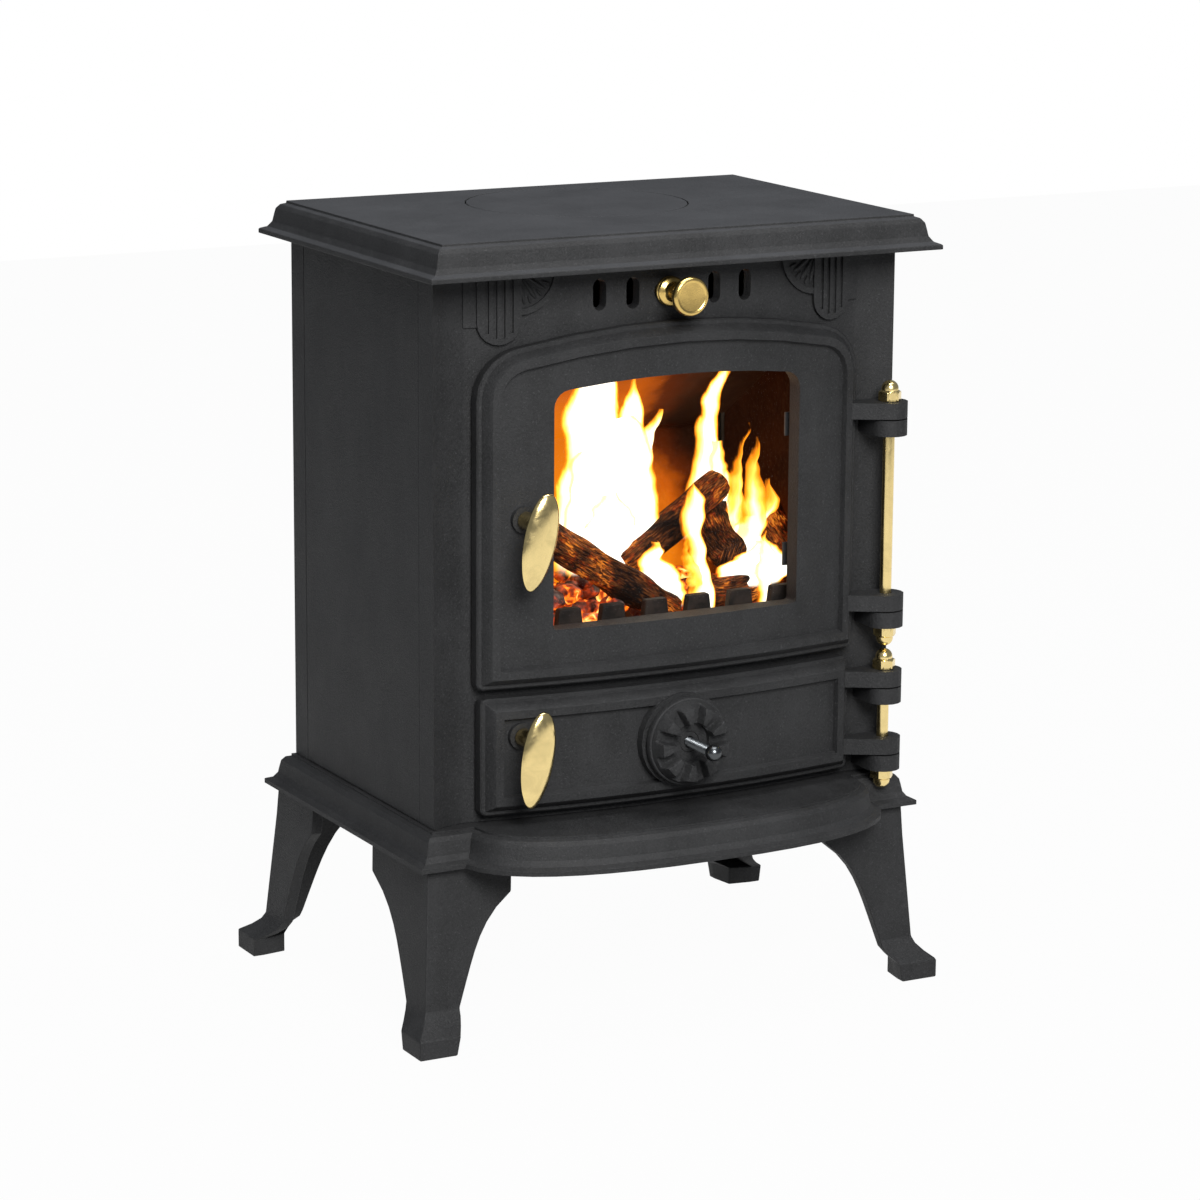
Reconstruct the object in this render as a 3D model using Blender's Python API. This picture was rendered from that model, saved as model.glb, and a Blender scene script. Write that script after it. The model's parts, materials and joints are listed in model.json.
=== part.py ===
"""Cast-iron multi-fuel stove on four cabriole legs, with a bowed front and two side-hung doors.

Lengths are in metres, +Z is up, the doors face -Y and +X is the hinge side. Everything is
modelled in the stove's own frame and hangs from the empty "stove", which centres the whole
object, from the hearth lip to the flue spigot, over the origin.
"""

import math

import bmesh
import bpy
from mathutils import Vector

mm = 0.001

# Clearances
SEAT_GAP = 0.3 * mm
RUNNING_GAP = 0.6 * mm
BORE_CLEARANCE = 0.35 * mm

# Main sizes of the body
LEG_HEIGHT = 122 * mm
BASE_THICKNESS = 23 * mm
BODY_HEIGHT = 367 * mm
TOP_THICKNESS = 23 * mm
BODY_WIDTH = 347 * mm
BODY_FRONT = -112 * mm
BODY_BACK = 110 * mm
SIDE_WALL = 8 * mm
FRONT_WALL = 9 * mm
FRONT_RETURN = 21.5 * mm
BACK_RETURN = 20 * mm

BASE_TOP = LEG_HEIGHT + BASE_THICKNESS
BODY_TOP = BASE_TOP + BODY_HEIGHT
STOVE_TOP = BODY_TOP + TOP_THICKNESS
HALF_BODY = BODY_WIDTH / 2
SIDE_INNER = HALF_BODY - SIDE_WALL

# The bow of the front: every bowed face follows one large radius
BOW_RADIUS = 800 * mm
BOW_STEP = 30 * mm
PANEL_CROWN = BODY_FRONT - 5 * mm
COLUMN_WIDTH = 27.5 * mm
CREASE_X = HALF_BODY - COLUMN_WIDTH
COLUMN_CURVE = 1.8

# Moulded edges of the top and the base
MOULDING_OUT = 14.5 * mm
MOULDING_STEP = 1.5 * mm
MOULDING_LIP = 3.6 * mm
OVOLO_SHARE = 0.44
TOP_SIDE_LAND = 2.5 * mm
TOP_FRONT_LAND = 19 * mm
TOP_BACK_LAND = 2.5 * mm
TOP_SKIN = 10 * mm
TOP_RIM = 12 * mm
TOP_RIM_FRONT = 17 * mm
BASE_LAND = 2.5 * mm
BASE_SKIN = 14 * mm
BASE_WALL = 7.5 * mm
HEARTH_HALF = HALF_BODY - 28.5 * mm
HEARTH_OUT = 58 * mm
HEARTH_SQUARENESS = 2.5
HEARTH_STEPS = 20

# Hotplate disc in the top
DISC_RADIUS = 76 * mm
DISC_THICKNESS = 5 * mm
DISC_LEDGE = 8 * mm
DISC_Y = 21 * mm

# Rear flue spigot
FLUE_RADIUS = 62.5 * mm
FLUE_WALL = 5 * mm
FLUE_Z = BODY_TOP - 79 * mm
FLUE_LENGTH = 42 * mm
FLUE_FLANGE = 13 * mm
FLUE_FLANGE_THICKNESS = 6 * mm
FLUE_BOLTS = 3

# Legs
LEG_WALL = 8 * mm
LEG_FACE_WIDTH = 62 * mm
FRONT_LEG_SIDE_WIDTH = 86 * mm
BACK_LEG_SIDE_WIDTH = 60 * mm
LEG_WAIST_WIDTH = 25.5 * mm
LEG_SIDE_WAIST_WIDTH = 30 * mm
LEG_FOOT_WIDTH = 30 * mm
LEG_WAIST_Z = 27 * mm
LEG_PAD_HEIGHT = 13 * mm
LEG_PAD_DEPTH = 25 * mm
LEG_PAD_TAPER = 2.5 * mm
LEG_SHOULDER = 22 * mm
FRONT_LEG_SPLAY = (17.5 * mm, 24.5 * mm)
BACK_LEG_SPLAY = (24.5 * mm, 20.5 * mm)
LEG_RAKE_SHARE = 0.36
LEG_FLANGE = 40 * mm
LEG_FLANGE_THICKNESS = 8 * mm
LEG_BOLT_INSET = 24 * mm
LEG_BOLT_RADIUS = 4 * mm
LEG_BOLT_ACROSS = 13 * mm
LEG_BOLT_HEAD = 5.5 * mm

# Fire door
DOOR_HALF = CREASE_X - 2.5 * mm
DOOR_BOTTOM = BASE_TOP + 92 * mm
DOOR_TOP = BODY_TOP - 37.5 * mm
DOOR_SHOULDER = 34 * mm
DOOR_ARCH = 560 * mm
DOOR_CORNER = 4 * mm
DOOR_SEAL_GAP = 3 * mm
DOOR_SKIRT = 8 * mm
DOOR_BAND = 14.5 * mm
DOOR_FIELD = 10.5 * mm
SKIRT_WIDTH = 3 * mm
BAND_START = 7 * mm
BAND_END = 14.5 * mm
GROOVE_DEPTH = 3 * mm
GROOVE_WIDTH = 6.5 * mm
GROOVE_INSET = 3.5 * mm
FIRE_OPENING_INSET = 18 * mm

# Window
GLASS_HALF = DOOR_HALF - 51 * mm
GLASS_BOTTOM = DOOR_BOTTOM + 38 * mm
GLASS_TOP = DOOR_TOP - 35 * mm
GLASS_SHOULDER = 12 * mm
GLASS_ARCH = 640 * mm
GLASS_THICKNESS = 4 * mm
GLASS_LAP = 6 * mm
WINDOW_SEAT_WIDTH = 14 * mm
WINDOW_SEAT_PROUD = 1.6 * mm
WINDOW_SEAT_DEPTH = 10 * mm
CLIP_LOW = 30 * mm
CLIP_HIGH = 45 * mm
CLIP_WIDTH = 16 * mm
CLIP_THICKNESS = 1.6 * mm
CLIP_SCREW_RADIUS = 2.5 * mm

# Ash door
ASH_HALF = CREASE_X - 5 * mm
ASH_BOTTOM = BASE_TOP + 6.5 * mm
ASH_TOP = DOOR_BOTTOM - 6 * mm
ASH_OPENING_INSET = 14.5 * mm
ASH_SILL_Z = ASH_BOTTOM + 11.5 * mm
ASH_LINTEL_Z = ASH_TOP - 12 * mm

# Hinges: one pair of lugs each for door and frame, on a brass rod with domed nuts
HINGE_X = HALF_BODY - 10 * mm
HINGE_Y = BODY_FRONT - 13.3 * mm
ROD_RADIUS = 4 * mm
LUG_RADIUS = 12.5 * mm
LUG_THICKNESS = 11 * mm
LUG_GAP = 1 * mm
FIRE_LUGS_Z = (DOOR_TOP - 77.5 * mm, DOOR_BOTTOM + 27 * mm)
ASH_LUGS_Z = (ASH_TOP - 20.5 * mm, ASH_BOTTOM + 11.5 * mm)
NUT_ACROSS = 14 * mm
NUT_HEX = 7 * mm
NUT_HEIGHT = 14 * mm
NUT_DOME_SHARE = 0.43
ROD_IN_NUT = 9 * mm

# Door handles with leaf-shaped grips
FIRE_HANDLE_X = -(DOOR_HALF - 30 * mm)
FIRE_HANDLE_Z = DOOR_BOTTOM + 113.5 * mm
FIRE_HANDLE_LEAN = 14.5
ASH_HANDLE_X = -(ASH_HALF - 26 * mm)
ASH_HANDLE_Z = ASH_BOTTOM + 54 * mm
ASH_HANDLE_LEAN = 8
LEAF_LENGTH = 64.5 * mm
LEAF_WIDTH = 22 * mm
LEAF_BACK = 1.5 * mm
LEAF_DOME = 5 * mm
LEAF_TOP_BLUNTNESS = 0.6
LEAF_TIP_BLUNTNESS = 0.76
LEAF_PIVOT_SHARE = 0.35
LEAF_Y = PANEL_CROWN - 33 * mm
SPINDLE_RADIUS = 5 * mm
SPINDLE_GRIP_RADIUS = 6 * mm
SPINDLE_END_RADIUS = 4 * mm
BOSS_RADIUS = 9 * mm
BOSS_HEIGHT = 2.5 * mm
CAM_LENGTH = 20 * mm
CAM_RADIUS = 7 * mm
CAM_TIP_RADIUS = 5 * mm
CAM_THICKNESS = 5 * mm
CAM_Y = PANEL_CROWN + 21.4 * mm
CAM_NUT_THICKNESS = 4 * mm
CAM_NUT_ACROSS = 11 * mm

# Top air slider
AIR_Z = BODY_TOP - 19 * mm
AIR_SLOT_X = (30.5 * mm, 54.5 * mm)
AIR_SLOT_WIDTH = 9.5 * mm
AIR_SLOT_HEIGHT = 21 * mm
KNOB_SLOT_HALF = 15 * mm
KNOB_SLOT_HEIGHT = 12.5 * mm
KNOB_X = -4.5 * mm
KNOB_SHANK = 3.5 * mm
KNOB_BASE = 10 * mm
KNOB_FACE = 13 * mm
KNOB_WAIST = 5.5 * mm
KNOB_LENGTH = 32 * mm
SLIDER_HALF = 72 * mm
SLIDER_HEIGHT = 30 * mm
SLIDER_THICKNESS = 2 * mm
SLIDER_RAIL = 3.3 * mm
SLIDER_Y = PANEL_CROWN + 14.4 * mm
SLIDER_OPEN_X = -9 * mm

# Spin wheel on its threaded stud
WHEEL_Z = ASH_BOTTOM + 41.5 * mm
WHEEL_RADIUS = 30 * mm
WHEEL_FLANGE = 4 * mm
WHEEL_OPEN = 3 * mm
LOBE_INNER = 14 * mm
LOBE_TOP_OUTER = 25 * mm
LOBE_OUTER = 28.5 * mm
LOBE_HEIGHT = 11 * mm
LOBE_COUNT = 9
NOTCH_WIDTH = 4 * mm
NOTCH_FLARE = 1.6
NOTCH_DEPTH = 7.5 * mm
WHEEL_FLOOR = 0.5 * mm
SEAT_RING_RADIUS = 32 * mm
SEAT_RING_WIDTH = 5 * mm
SEAT_RING_HEIGHT = 6.5 * mm
BUSH_RADIUS = 7 * mm
STUD_RADIUS = 3.5 * mm
STUD_REACH = 47 * mm
BALL_RADIUS = 5.6 * mm
STUD_NUT_THICKNESS = 5 * mm
AIR_PORT_INNER = 12 * mm
AIR_PORT_OUTER = 25 * mm
AIR_PORT_COUNT = 3
AIR_PORT_ANGLE = 84

# Inside: grate, guard, liners, baffle and pan
LEDGE_Z = DOOR_BOTTOM - 1 * mm
LEDGE_REACH = 27 * mm
LEDGE_THICKNESS = 10 * mm
LEDGE_FRONT = BODY_FRONT + 34 * mm
LEDGE_BACK = BODY_BACK - 32 * mm
LINER_THICKNESS = 12 * mm
LINER_GAP = 4 * mm
LINER_FRONT = BODY_FRONT + 32 * mm
LINER_BACK = BODY_BACK - 34 * mm
GRATE_THICKNESS = 10 * mm
GRATE_HALF = SIDE_INNER - LINER_THICKNESS - LINER_GAP - SEAT_GAP
GRATE_FRONT = BODY_FRONT + 26 * mm
GRATE_BACK = LINER_BACK
GRATE_NOSE_HALF = DOOR_HALF - FIRE_OPENING_INSET - 9 * mm
GRATE_NOSE_FRONT = PANEL_CROWN + 18.6 * mm
GRATE_SLOTS = 11
GRATE_SLOT_WIDTH = 9 * mm
GRATE_SLOT_MARGIN = 22 * mm
GUARD_HALF = GRATE_NOSE_HALF - 1 * mm
GUARD_FRONT = GRATE_NOSE_FRONT + 0.4 * mm
GUARD_THICKNESS = 7 * mm
GUARD_BAR = 16 * mm
TOOTH_TOP_Z = LEDGE_Z + 45 * mm
TOOTH_COUNT = 7
TOOTH_PITCH = (2 * GUARD_HALF - 2 * mm) / TOOTH_COUNT
TOOTH_BASE = 21 * mm
TOOTH_TIP = 16 * mm
BAFFLE_BACK_Z = FLUE_Z - 81 * mm
BAFFLE_SLOPE = 0.66
BAFFLE_FRONT = BODY_FRONT + 60 * mm
BAFFLE_THICKNESS = 8 * mm
PAN_HALF = ASH_HALF - 28 * mm
PAN_FRONT = BODY_FRONT + 29 * mm
PAN_BACK = BODY_BACK - 40 * mm
PAN_TOP_Z = ASH_LINTEL_Z - 8 * mm
PAN_WALL = 2 * mm
PAN_DRAFT = 4 * mm
RUNNER_X = PAN_HALF - 18 * mm
RUNNER_WIDTH = 8 * mm
TIE_ROD_RADIUS = 3 * mm
TIE_ROD_INSET = 10.5 * mm
TIE_ROD_FRONT = BODY_FRONT + 25 * mm
TIE_ROD_BACK = BODY_BACK - 24 * mm
TIE_NUT_ACROSS = 10 * mm
TIE_NUT_THICKNESS = 5 * mm

# Corner ornament of the front
ORNAMENT_RELIEF = 3 * mm
STRIP_RELIEF = 1.6 * mm
FAN_RELIEF = 2.4 * mm
FAN_DISH = 1.4 * mm
STRIP_OUTER = CREASE_X + 2.5 * mm
TONGUE_X = CREASE_X - 21 * mm
TONGUE_RADIUS = 15 * mm
TONGUE_BOTTOM_Z = BODY_TOP - 48 * mm
STRIP_BOTTOM_Z = BODY_TOP - 36 * mm
FAN_RADIUS = 29 * mm
FAN_RIM = 4 * mm
FLUTE_COUNT = 4
FLUTE_WIDTH = 2.6 * mm
FLUTE_DEPTH = 1.6 * mm
ORNAMENT_RIM = 4 * mm

# Places worked out from the sizes above
SKIRT_BACK = PANEL_CROWN - DOOR_SEAL_GAP
SKIRT_FACE = SKIRT_BACK - DOOR_SKIRT
BAND_FACE = SKIRT_BACK - DOOR_BAND
FIELD_FACE = SKIRT_BACK - DOOR_FIELD
FLUE_BACK = BODY_BACK + SEAT_GAP + FLUE_LENGTH
HEARTH_FRONT = BODY_FRONT - BASE_LAND - HEARTH_OUT - MOULDING_OUT
STOVE_SHIFT = -(HEARTH_FRONT + FLUE_BACK) / 2
BASE_UNDER = BASE_TOP - BASE_SKIN
WHEEL_SEAT = FIELD_FACE - SEAT_RING_HEIGHT
WHEEL_BACK = WHEEL_SEAT - WHEEL_OPEN
WHEEL_FACE = WHEEL_BACK - WHEEL_FLANGE
STUD_END = FIELD_FACE - STUD_REACH
PAN_BOTTOM = ASH_SILL_Z + 1 * mm


def bow(x):
    """How far a bowed face lies behind its crown at this distance from the middle."""
    return BOW_RADIUS - math.sqrt(BOW_RADIUS**2 - x**2)


WINDOW_SEAT_Y = PANEL_CROWN + bow(GLASS_HALF + WINDOW_SEAT_WIDTH) - WINDOW_SEAT_PROUD
FIRE_HANDLE = Vector((FIRE_HANDLE_X, FIELD_FACE + bow(FIRE_HANDLE_X), FIRE_HANDLE_Z))
ASH_HANDLE = Vector((ASH_HANDLE_X, FIELD_FACE + bow(ASH_HANDLE_X), ASH_HANDLE_Z))
PIVOTS = {
    "stove": Vector((0, 0, 0)),
    "hotplate_pivot": Vector((0, DISC_Y, STOVE_TOP)),
    "air_slider_pivot": Vector((KNOB_X, PANEL_CROWN, AIR_Z)),
    "fire_door_pivot": Vector((HINGE_X, HINGE_Y, sum(FIRE_LUGS_Z) / 2)),
    "ash_door_pivot": Vector((HINGE_X, HINGE_Y, sum(ASH_LUGS_Z) / 2)),
    "fire_handle_pivot": FIRE_HANDLE,
    "ash_handle_pivot": ASH_HANDLE,
    "air_bush_pivot": Vector((0, WHEEL_BACK, WHEEL_Z)),
    "air_wheel_pivot": Vector((0, WHEEL_BACK, WHEEL_Z)),
}
CARRIERS = {
    "hotplate_pivot": "stove",
    "air_slider_pivot": "stove",
    "fire_door_pivot": "stove",
    "ash_door_pivot": "stove",
    "fire_handle_pivot": "fire_door_pivot",
    "ash_handle_pivot": "ash_door_pivot",
    "air_bush_pivot": "ash_door_pivot",
    "air_wheel_pivot": "air_bush_pivot",
}


# Outlines


def arc(centre, radius, start, end, steps):
    """Points on an arc, its angles in degrees, both ends included."""
    return [
        (
            centre[0] + radius * math.cos(math.radians(start + (end - start) * i / steps)),
            centre[1] + radius * math.sin(math.radians(start + (end - start) * i / steps)),
        )
        for i in range(steps + 1)
    ]


def circle(centre, radius, steps):
    return arc(centre, radius, 0, 360, steps)[:-1]


def rectangle(x0, y0, x1, y1):
    return [(x0, y0), (x1, y0), (x1, y1), (x0, y1)]


def hexagon(centre, across, turn=0):
    return arc(centre, across / math.sqrt(3), turn, turn + 360, 6)[:-1]


def stadium(centre, width, height, steps=6):
    """A slot's outline with round ends at its top and bottom, or at its sides if it is wide."""
    x, y = centre
    if height >= width:
        r, reach = width / 2, (height - width) / 2
        return arc((x, y + reach), r, 0, 180, steps) + arc((x, y - reach), r, 180, 360, steps)
    r, reach = height / 2, (width - height) / 2
    return arc((x + reach, y), r, -90, 90, steps) + arc((x - reach, y), r, 90, 270, steps)


def hull(points):
    """Convex outline round the points, anticlockwise."""
    ordered = sorted(set(points))

    def half(run):
        kept = []
        for p in run:
            while len(kept) > 1:
                (ax, ay), (bx, by) = kept[-2:]
                if (bx - ax) * (p[1] - ay) - (by - ay) * (p[0] - ax) > 0:
                    break
                kept.pop()
            kept.append(p)
        return kept[:-1]

    return half(ordered) + half(reversed(ordered))


def arched_outline(half, bottom, top, shoulder, arch, corner, inset=0.0):
    """XZ outline with a shallow arch on round shoulders. An inset outline keeps the arcs' centres."""
    low = max(corner - inset, 0.5 * mm)
    arch_centre = top - arch
    x = half - shoulder
    z = arch_centre + math.sqrt((arch - shoulder) ** 2 - x**2)
    lean = math.degrees(math.atan2(z - arch_centre, x))
    left, right = -half + inset + low, half - inset - low
    floor = bottom + inset + low
    points = arc((left, floor), low, 180, 270, 2)
    points += arc((right, floor), low, 270, 360, 2)
    points += arc((x, z), shoulder - inset, 0, lean, 5)
    points += arc((0, arch_centre), arch - inset, lean, 180 - lean, 6)[1:-1]
    points += arc((-x, z), shoulder - inset, 180 - lean, 180, 5)
    return points


def fire_door_outline(inset=0.0):
    return arched_outline(
        DOOR_HALF, DOOR_BOTTOM, DOOR_TOP, DOOR_SHOULDER, DOOR_ARCH, DOOR_CORNER, inset
    )


def window_outline(inset=0.0):
    return arched_outline(
        GLASS_HALF, GLASS_BOTTOM, GLASS_TOP, GLASS_SHOULDER, GLASS_ARCH, 2 * mm, inset
    )


def ash_door_outline(inset=0.0):
    low = max(DOOR_CORNER - inset, 0.5 * mm)
    x = ASH_HALF - inset - low
    bottom, top = ASH_BOTTOM + inset + low, ASH_TOP - inset - low
    points = arc((-x, bottom), low, 180, 270, 2) + arc((x, bottom), low, 270, 360, 2)
    return points + arc((x, top), low, 0, 90, 2) + arc((-x, top), low, 90, 180, 2)


def moulding(out, drop):
    """(distance out, distance down) along a moulded edge: step, ovolo, cove and lip."""
    ovolo_out = out * OVOLO_SHARE
    ovolo_drop = (drop - MOULDING_STEP - MOULDING_LIP) * OVOLO_SHARE
    cove_out = out - ovolo_out - 1 * mm
    cove_drop = drop - MOULDING_STEP - ovolo_drop - MOULDING_LIP
    turns = [math.radians(30 * i) for i in range(4)]
    points = [(0.0, 0.0)]
    points += [
        (ovolo_out * math.sin(t), MOULDING_STEP + ovolo_drop * (1 - math.cos(t))) for t in turns
    ]
    start = MOULDING_STEP + ovolo_drop
    points += [
        (ovolo_out + cove_out * (1 - math.cos(t)), start + cove_drop * math.sin(t))
        for t in turns[1:]
    ]
    return points + [(out, drop - MOULDING_LIP + 0.6 * mm), (out, drop)]


# Solids


def finished(bm):
    bmesh.ops.recalc_face_normals(bm, faces=bm.faces)
    return bm


def extrude(outline, axis, start, end):
    """Prism of an outline: (x, y) points along Z, (x, z) points along Y or (y, z) points along X."""
    put = {
        "X": lambda u, v, w: (w, u, v),
        "Y": lambda u, v, w: (u, w, v),
        "Z": lambda u, v, w: (u, v, w),
    }[axis]
    bm = bmesh.new()
    face = bm.faces.new([bm.verts.new(put(u, v, start)) for u, v in outline])
    grown = bmesh.ops.extrude_face_region(bm, geom=[face])
    moved = [item for item in grown["geom"] if isinstance(item, bmesh.types.BMVert)]
    bmesh.ops.translate(bm, verts=moved, vec=Vector(put(0, 0, end - start)))
    return finished(bm)


def box(low, high):
    return extrude(rectangle(low[0], low[1], high[0], high[1]), "Z", low[2], high[2])


def loft(rings, closed=False):
    """Skin over rings of 3-D points. An open skin gets a cap at each end, a closed one is a loop."""
    bm = bmesh.new()
    rows = [[bm.verts.new(p) for p in ring] for ring in rings]
    pairs = list(zip(rows, rows[1:]))
    if closed:
        pairs.append((rows[-1], rows[0]))
    else:
        bm.faces.new(rows[0])
        bm.faces.new(rows[-1])
    for low, high in pairs:
        for i in range(len(low)):
            j = (i + 1) % len(low)
            bm.faces.new((low[i], low[j], high[j], high[i]))
    return finished(bm)


def turned(profile, axis, centre, steps=24):
    """Solid turned from (radius, height) points about an axis through the centre."""
    lift = {"X": Vector((1, 0, 0)), "Y": Vector((0, 1, 0)), "Z": Vector((0, 0, 1))}[axis]
    out = Vector((0, 0, 1)) if axis == "X" else Vector((1, 0, 0))
    centre = Vector(centre)
    bm = bmesh.new()
    verts = [bm.verts.new(centre + out * r + lift * h) for r, h in profile]
    edges = [bm.edges.new(pair) for pair in zip(verts, verts[1:])]
    if profile[0][0] > 0:
        edges.append(bm.edges.new((verts[-1], verts[0])))
    bmesh.ops.spin(
        bm,
        geom=verts + edges,
        cent=centre,
        axis=lift,
        angle=2 * math.pi,
        steps=steps,
        use_merge=True,
    )
    bmesh.ops.remove_doubles(bm, verts=bm.verts, dist=1e-6)
    return finished(bm)


def cylinder(axis, centre, radius, start, end, steps=16):
    return turned([(0, start), (radius, start), (radius, end), (0, end)], axis, centre, steps)


def tube(axis, centre, outer, inner, start, end, steps=24):
    profile = [(inner, start), (outer, start), (outer, end), (inner, end)]
    return turned(profile, axis, centre, steps)


def loose_object(name, bm):
    mesh = bpy.data.meshes.new(name)
    bm.to_mesh(mesh)
    bm.free()
    obj = bpy.data.objects.new(name, mesh)
    bpy.context.scene.collection.objects.link(obj)
    return obj


def combined(first, second, operation):
    """Boolean of two solids, which are used up."""
    body, tool = loose_object("body", first), loose_object("tool", second)
    modifier = body.modifiers.new("Boolean", "BOOLEAN")
    modifier.operation = operation
    modifier.solver = "EXACT"
    modifier.object = tool
    bpy.context.view_layer.update()
    evaluated = body.evaluated_get(bpy.context.evaluated_depsgraph_get())
    result = bmesh.new()
    result.from_mesh(evaluated.to_mesh())
    evaluated.to_mesh_clear()
    for obj in (body, tool):
        mesh = obj.data
        bpy.data.objects.remove(obj)
        bpy.data.meshes.remove(mesh)
    bmesh.ops.dissolve_degenerate(result, dist=1e-6, edges=result.edges)
    return result


def joined(bm, *others):
    for other in others:
        bm = combined(bm, other, "UNION")
    return bm


def cut(bm, *others):
    for other in others:
        bm = combined(bm, other, "DIFFERENCE")
    return bm


def bowed(bm):
    """Bends a flat-built solid to the bow of the front."""
    reach = max(abs(v.co.x) for v in bm.verts)
    count = int(reach // BOW_STEP)
    for i in range(-count, count + 1):
        bmesh.ops.bisect_plane(
            bm,
            geom=bm.verts[:] + bm.edges[:] + bm.faces[:],
            dist=1e-6,
            plane_co=(i * BOW_STEP, 0, 0),
            plane_no=(1, 0, 0),
        )
    for v in bm.verts:
        v.co.y += bow(v.co.x)
    return finished(bm)


# Objects


def material(name, colour, roughness, metallic):
    made = bpy.data.materials.new(name)
    made.use_nodes = True
    shader = made.node_tree.nodes["Principled BSDF"]
    shader.inputs["Base Color"].default_value = (*colour, 1)
    shader.inputs["Roughness"].default_value = roughness
    shader.inputs["Metallic"].default_value = metallic
    return made


def make_materials():
    return {
        "iron": material("matt_black_cast_iron", (0.035, 0.035, 0.038), 0.75, 0.2),
        "raw_iron": material("bare_cast_iron", (0.06, 0.055, 0.05), 0.8, 0.5),
        "brass": material("polished_brass", (0.83, 0.66, 0.34), 0.18, 1.0),
        "steel": material("zinc_steel", (0.6, 0.6, 0.6), 0.3, 1.0),
        "glass": material("ceramic_glass", (0.25, 0.2, 0.15), 0.05, 0.0),
        "brick": material("vermiculite_board", (0.55, 0.47, 0.36), 0.9, 0.0),
        "rope": material("glass_fibre_rope", (0.12, 0.12, 0.12), 0.95, 0.0),
        "pan": material("black_steel_sheet", (0.05, 0.05, 0.055), 0.5, 0.6),
    }


def make_pivots():
    """One empty for the stove and one on the axis of each moving body."""
    pivots = {}
    for name, place in PIVOTS.items():
        empty = bpy.data.objects.new(name, None)
        empty.empty_display_size = 20 * mm
        bpy.context.scene.collection.objects.link(empty)
        if name == "stove":
            empty.location = (0, STOVE_SHIFT, 0)
        else:
            empty.parent = pivots[CARRIERS[name]]
            empty.location = place - PIVOTS[CARRIERS[name]]
        pivots[name] = empty
    return pivots


class Builder:
    """Turns solids in the stove's frame into named objects on their carriers."""

    def __init__(self):
        self.materials = make_materials()
        self.pivots = make_pivots()

    def add(self, name, bm, finish, carrier="stove"):
        bmesh.ops.translate(bm, verts=bm.verts, vec=-PIVOTS[carrier])
        obj = loose_object(name, bm)
        obj.parent = self.pivots[carrier]
        obj.data.materials.append(self.materials[finish])
        obj.data.shade_smooth()
        obj.data.set_sharp_from_angle(angle=math.radians(32))
        return obj


# Top


def rectangle_ring(half, front, back, z):
    return [(-half, front, z), (half, front, z), (half, back, z), (-half, back, z)]


def top_plate():
    half = HALF_BODY + TOP_SIDE_LAND
    front, back = BODY_FRONT - TOP_FRONT_LAND, BODY_BACK + TOP_BACK_LAND
    rings = [
        rectangle_ring(half + out, front - out, back + out, STOVE_TOP - drop)
        for out, drop in moulding(MOULDING_OUT, TOP_THICKNESS)
    ]
    rim = HALF_BODY - TOP_RIM
    for z in (BODY_TOP, STOVE_TOP - TOP_SKIN):
        rings.append(rectangle_ring(rim, BODY_FRONT + TOP_RIM_FRONT, BODY_BACK - TOP_RIM, z))
    plate = loft(rings)
    place = (0, DISC_Y, STOVE_TOP)
    rebate = DISC_THICKNESS + SEAT_GAP
    return cut(
        plate,
        cylinder("Z", place, DISC_RADIUS + RUNNING_GAP, -rebate, 5 * mm, 34),
        cylinder("Z", place, DISC_RADIUS - DISC_LEDGE, -2 * TOP_SKIN, 0, 34),
    )


def hotplate():
    """Lift-off disc with a locating rim under it, inside the ledge."""
    rim = DISC_RADIUS - DISC_LEDGE - RUNNING_GAP
    profile = [
        (0, -DISC_THICKNESS),
        (rim - 4 * mm, -DISC_THICKNESS),
        (rim - 4 * mm, -DISC_THICKNESS - 3 * mm),
        (rim, -DISC_THICKNESS - 3 * mm),
        (rim, -DISC_THICKNESS),
        (DISC_RADIUS, -DISC_THICKNESS),
        (DISC_RADIUS, -0.5 * mm),
        (DISC_RADIUS - 0.5 * mm, 0),
        (0, 0),
    ]
    return turned(profile, "Z", (0, DISC_Y, STOVE_TOP), 34)


# Front casting


def panel_line(inner=False):
    """The bowed panel in plan, from left crease to right crease."""
    steps = 2 * round(CREASE_X / BOW_STEP)
    xs = [-CREASE_X + 2 * CREASE_X * i / steps for i in range(steps + 1)]
    shift = FRONT_WALL if inner else 0
    return [(x, PANEL_CROWN + bow(x) + shift) for x in xs]


def column_line(side):
    """Concave face of a corner column in plan, from the crease out to the corner."""
    start = PANEL_CROWN + bow(CREASE_X)
    width, rise = HALF_BODY - CREASE_X, start - BODY_FRONT
    return [
        (side * (CREASE_X + width * t / 4), start - rise * (t / 4) ** COLUMN_CURVE)
        for t in range(1, 5)
    ]


def front_plan():
    joint = BODY_FRONT + FRONT_RETURN
    inner_y = PANEL_CROWN + bow(CREASE_X) + FRONT_WALL - 2.4 * mm
    outer = [(-HALF_BODY, joint)] + column_line(-1)[::-1] + panel_line() + column_line(1)
    outer += [(HALF_BODY, joint)]
    inner = [(SIDE_INNER, joint), (SIDE_INNER, inner_y)] + panel_line(True)[::-1]
    inner += [(-SIDE_INNER, inner_y), (-SIDE_INNER, joint)]
    return outer + inner


def frame_lug(z_top):
    circle_part = circle((HINGE_X, HINGE_Y), LUG_RADIUS, 16)
    roots = [(CREASE_X + 6 * mm, BODY_FRONT + 10 * mm), (HALF_BODY - 2 * mm, BODY_FRONT + 6 * mm)]
    return extrude(hull(circle_part + roots), "Z", z_top - LUG_THICKNESS, z_top)


def rod_hole(radius=ROD_RADIUS + BORE_CLEARANCE):
    return cylinder("Z", (HINGE_X, HINGE_Y, 0), radius, BASE_TOP, BODY_TOP, 12)


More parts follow.
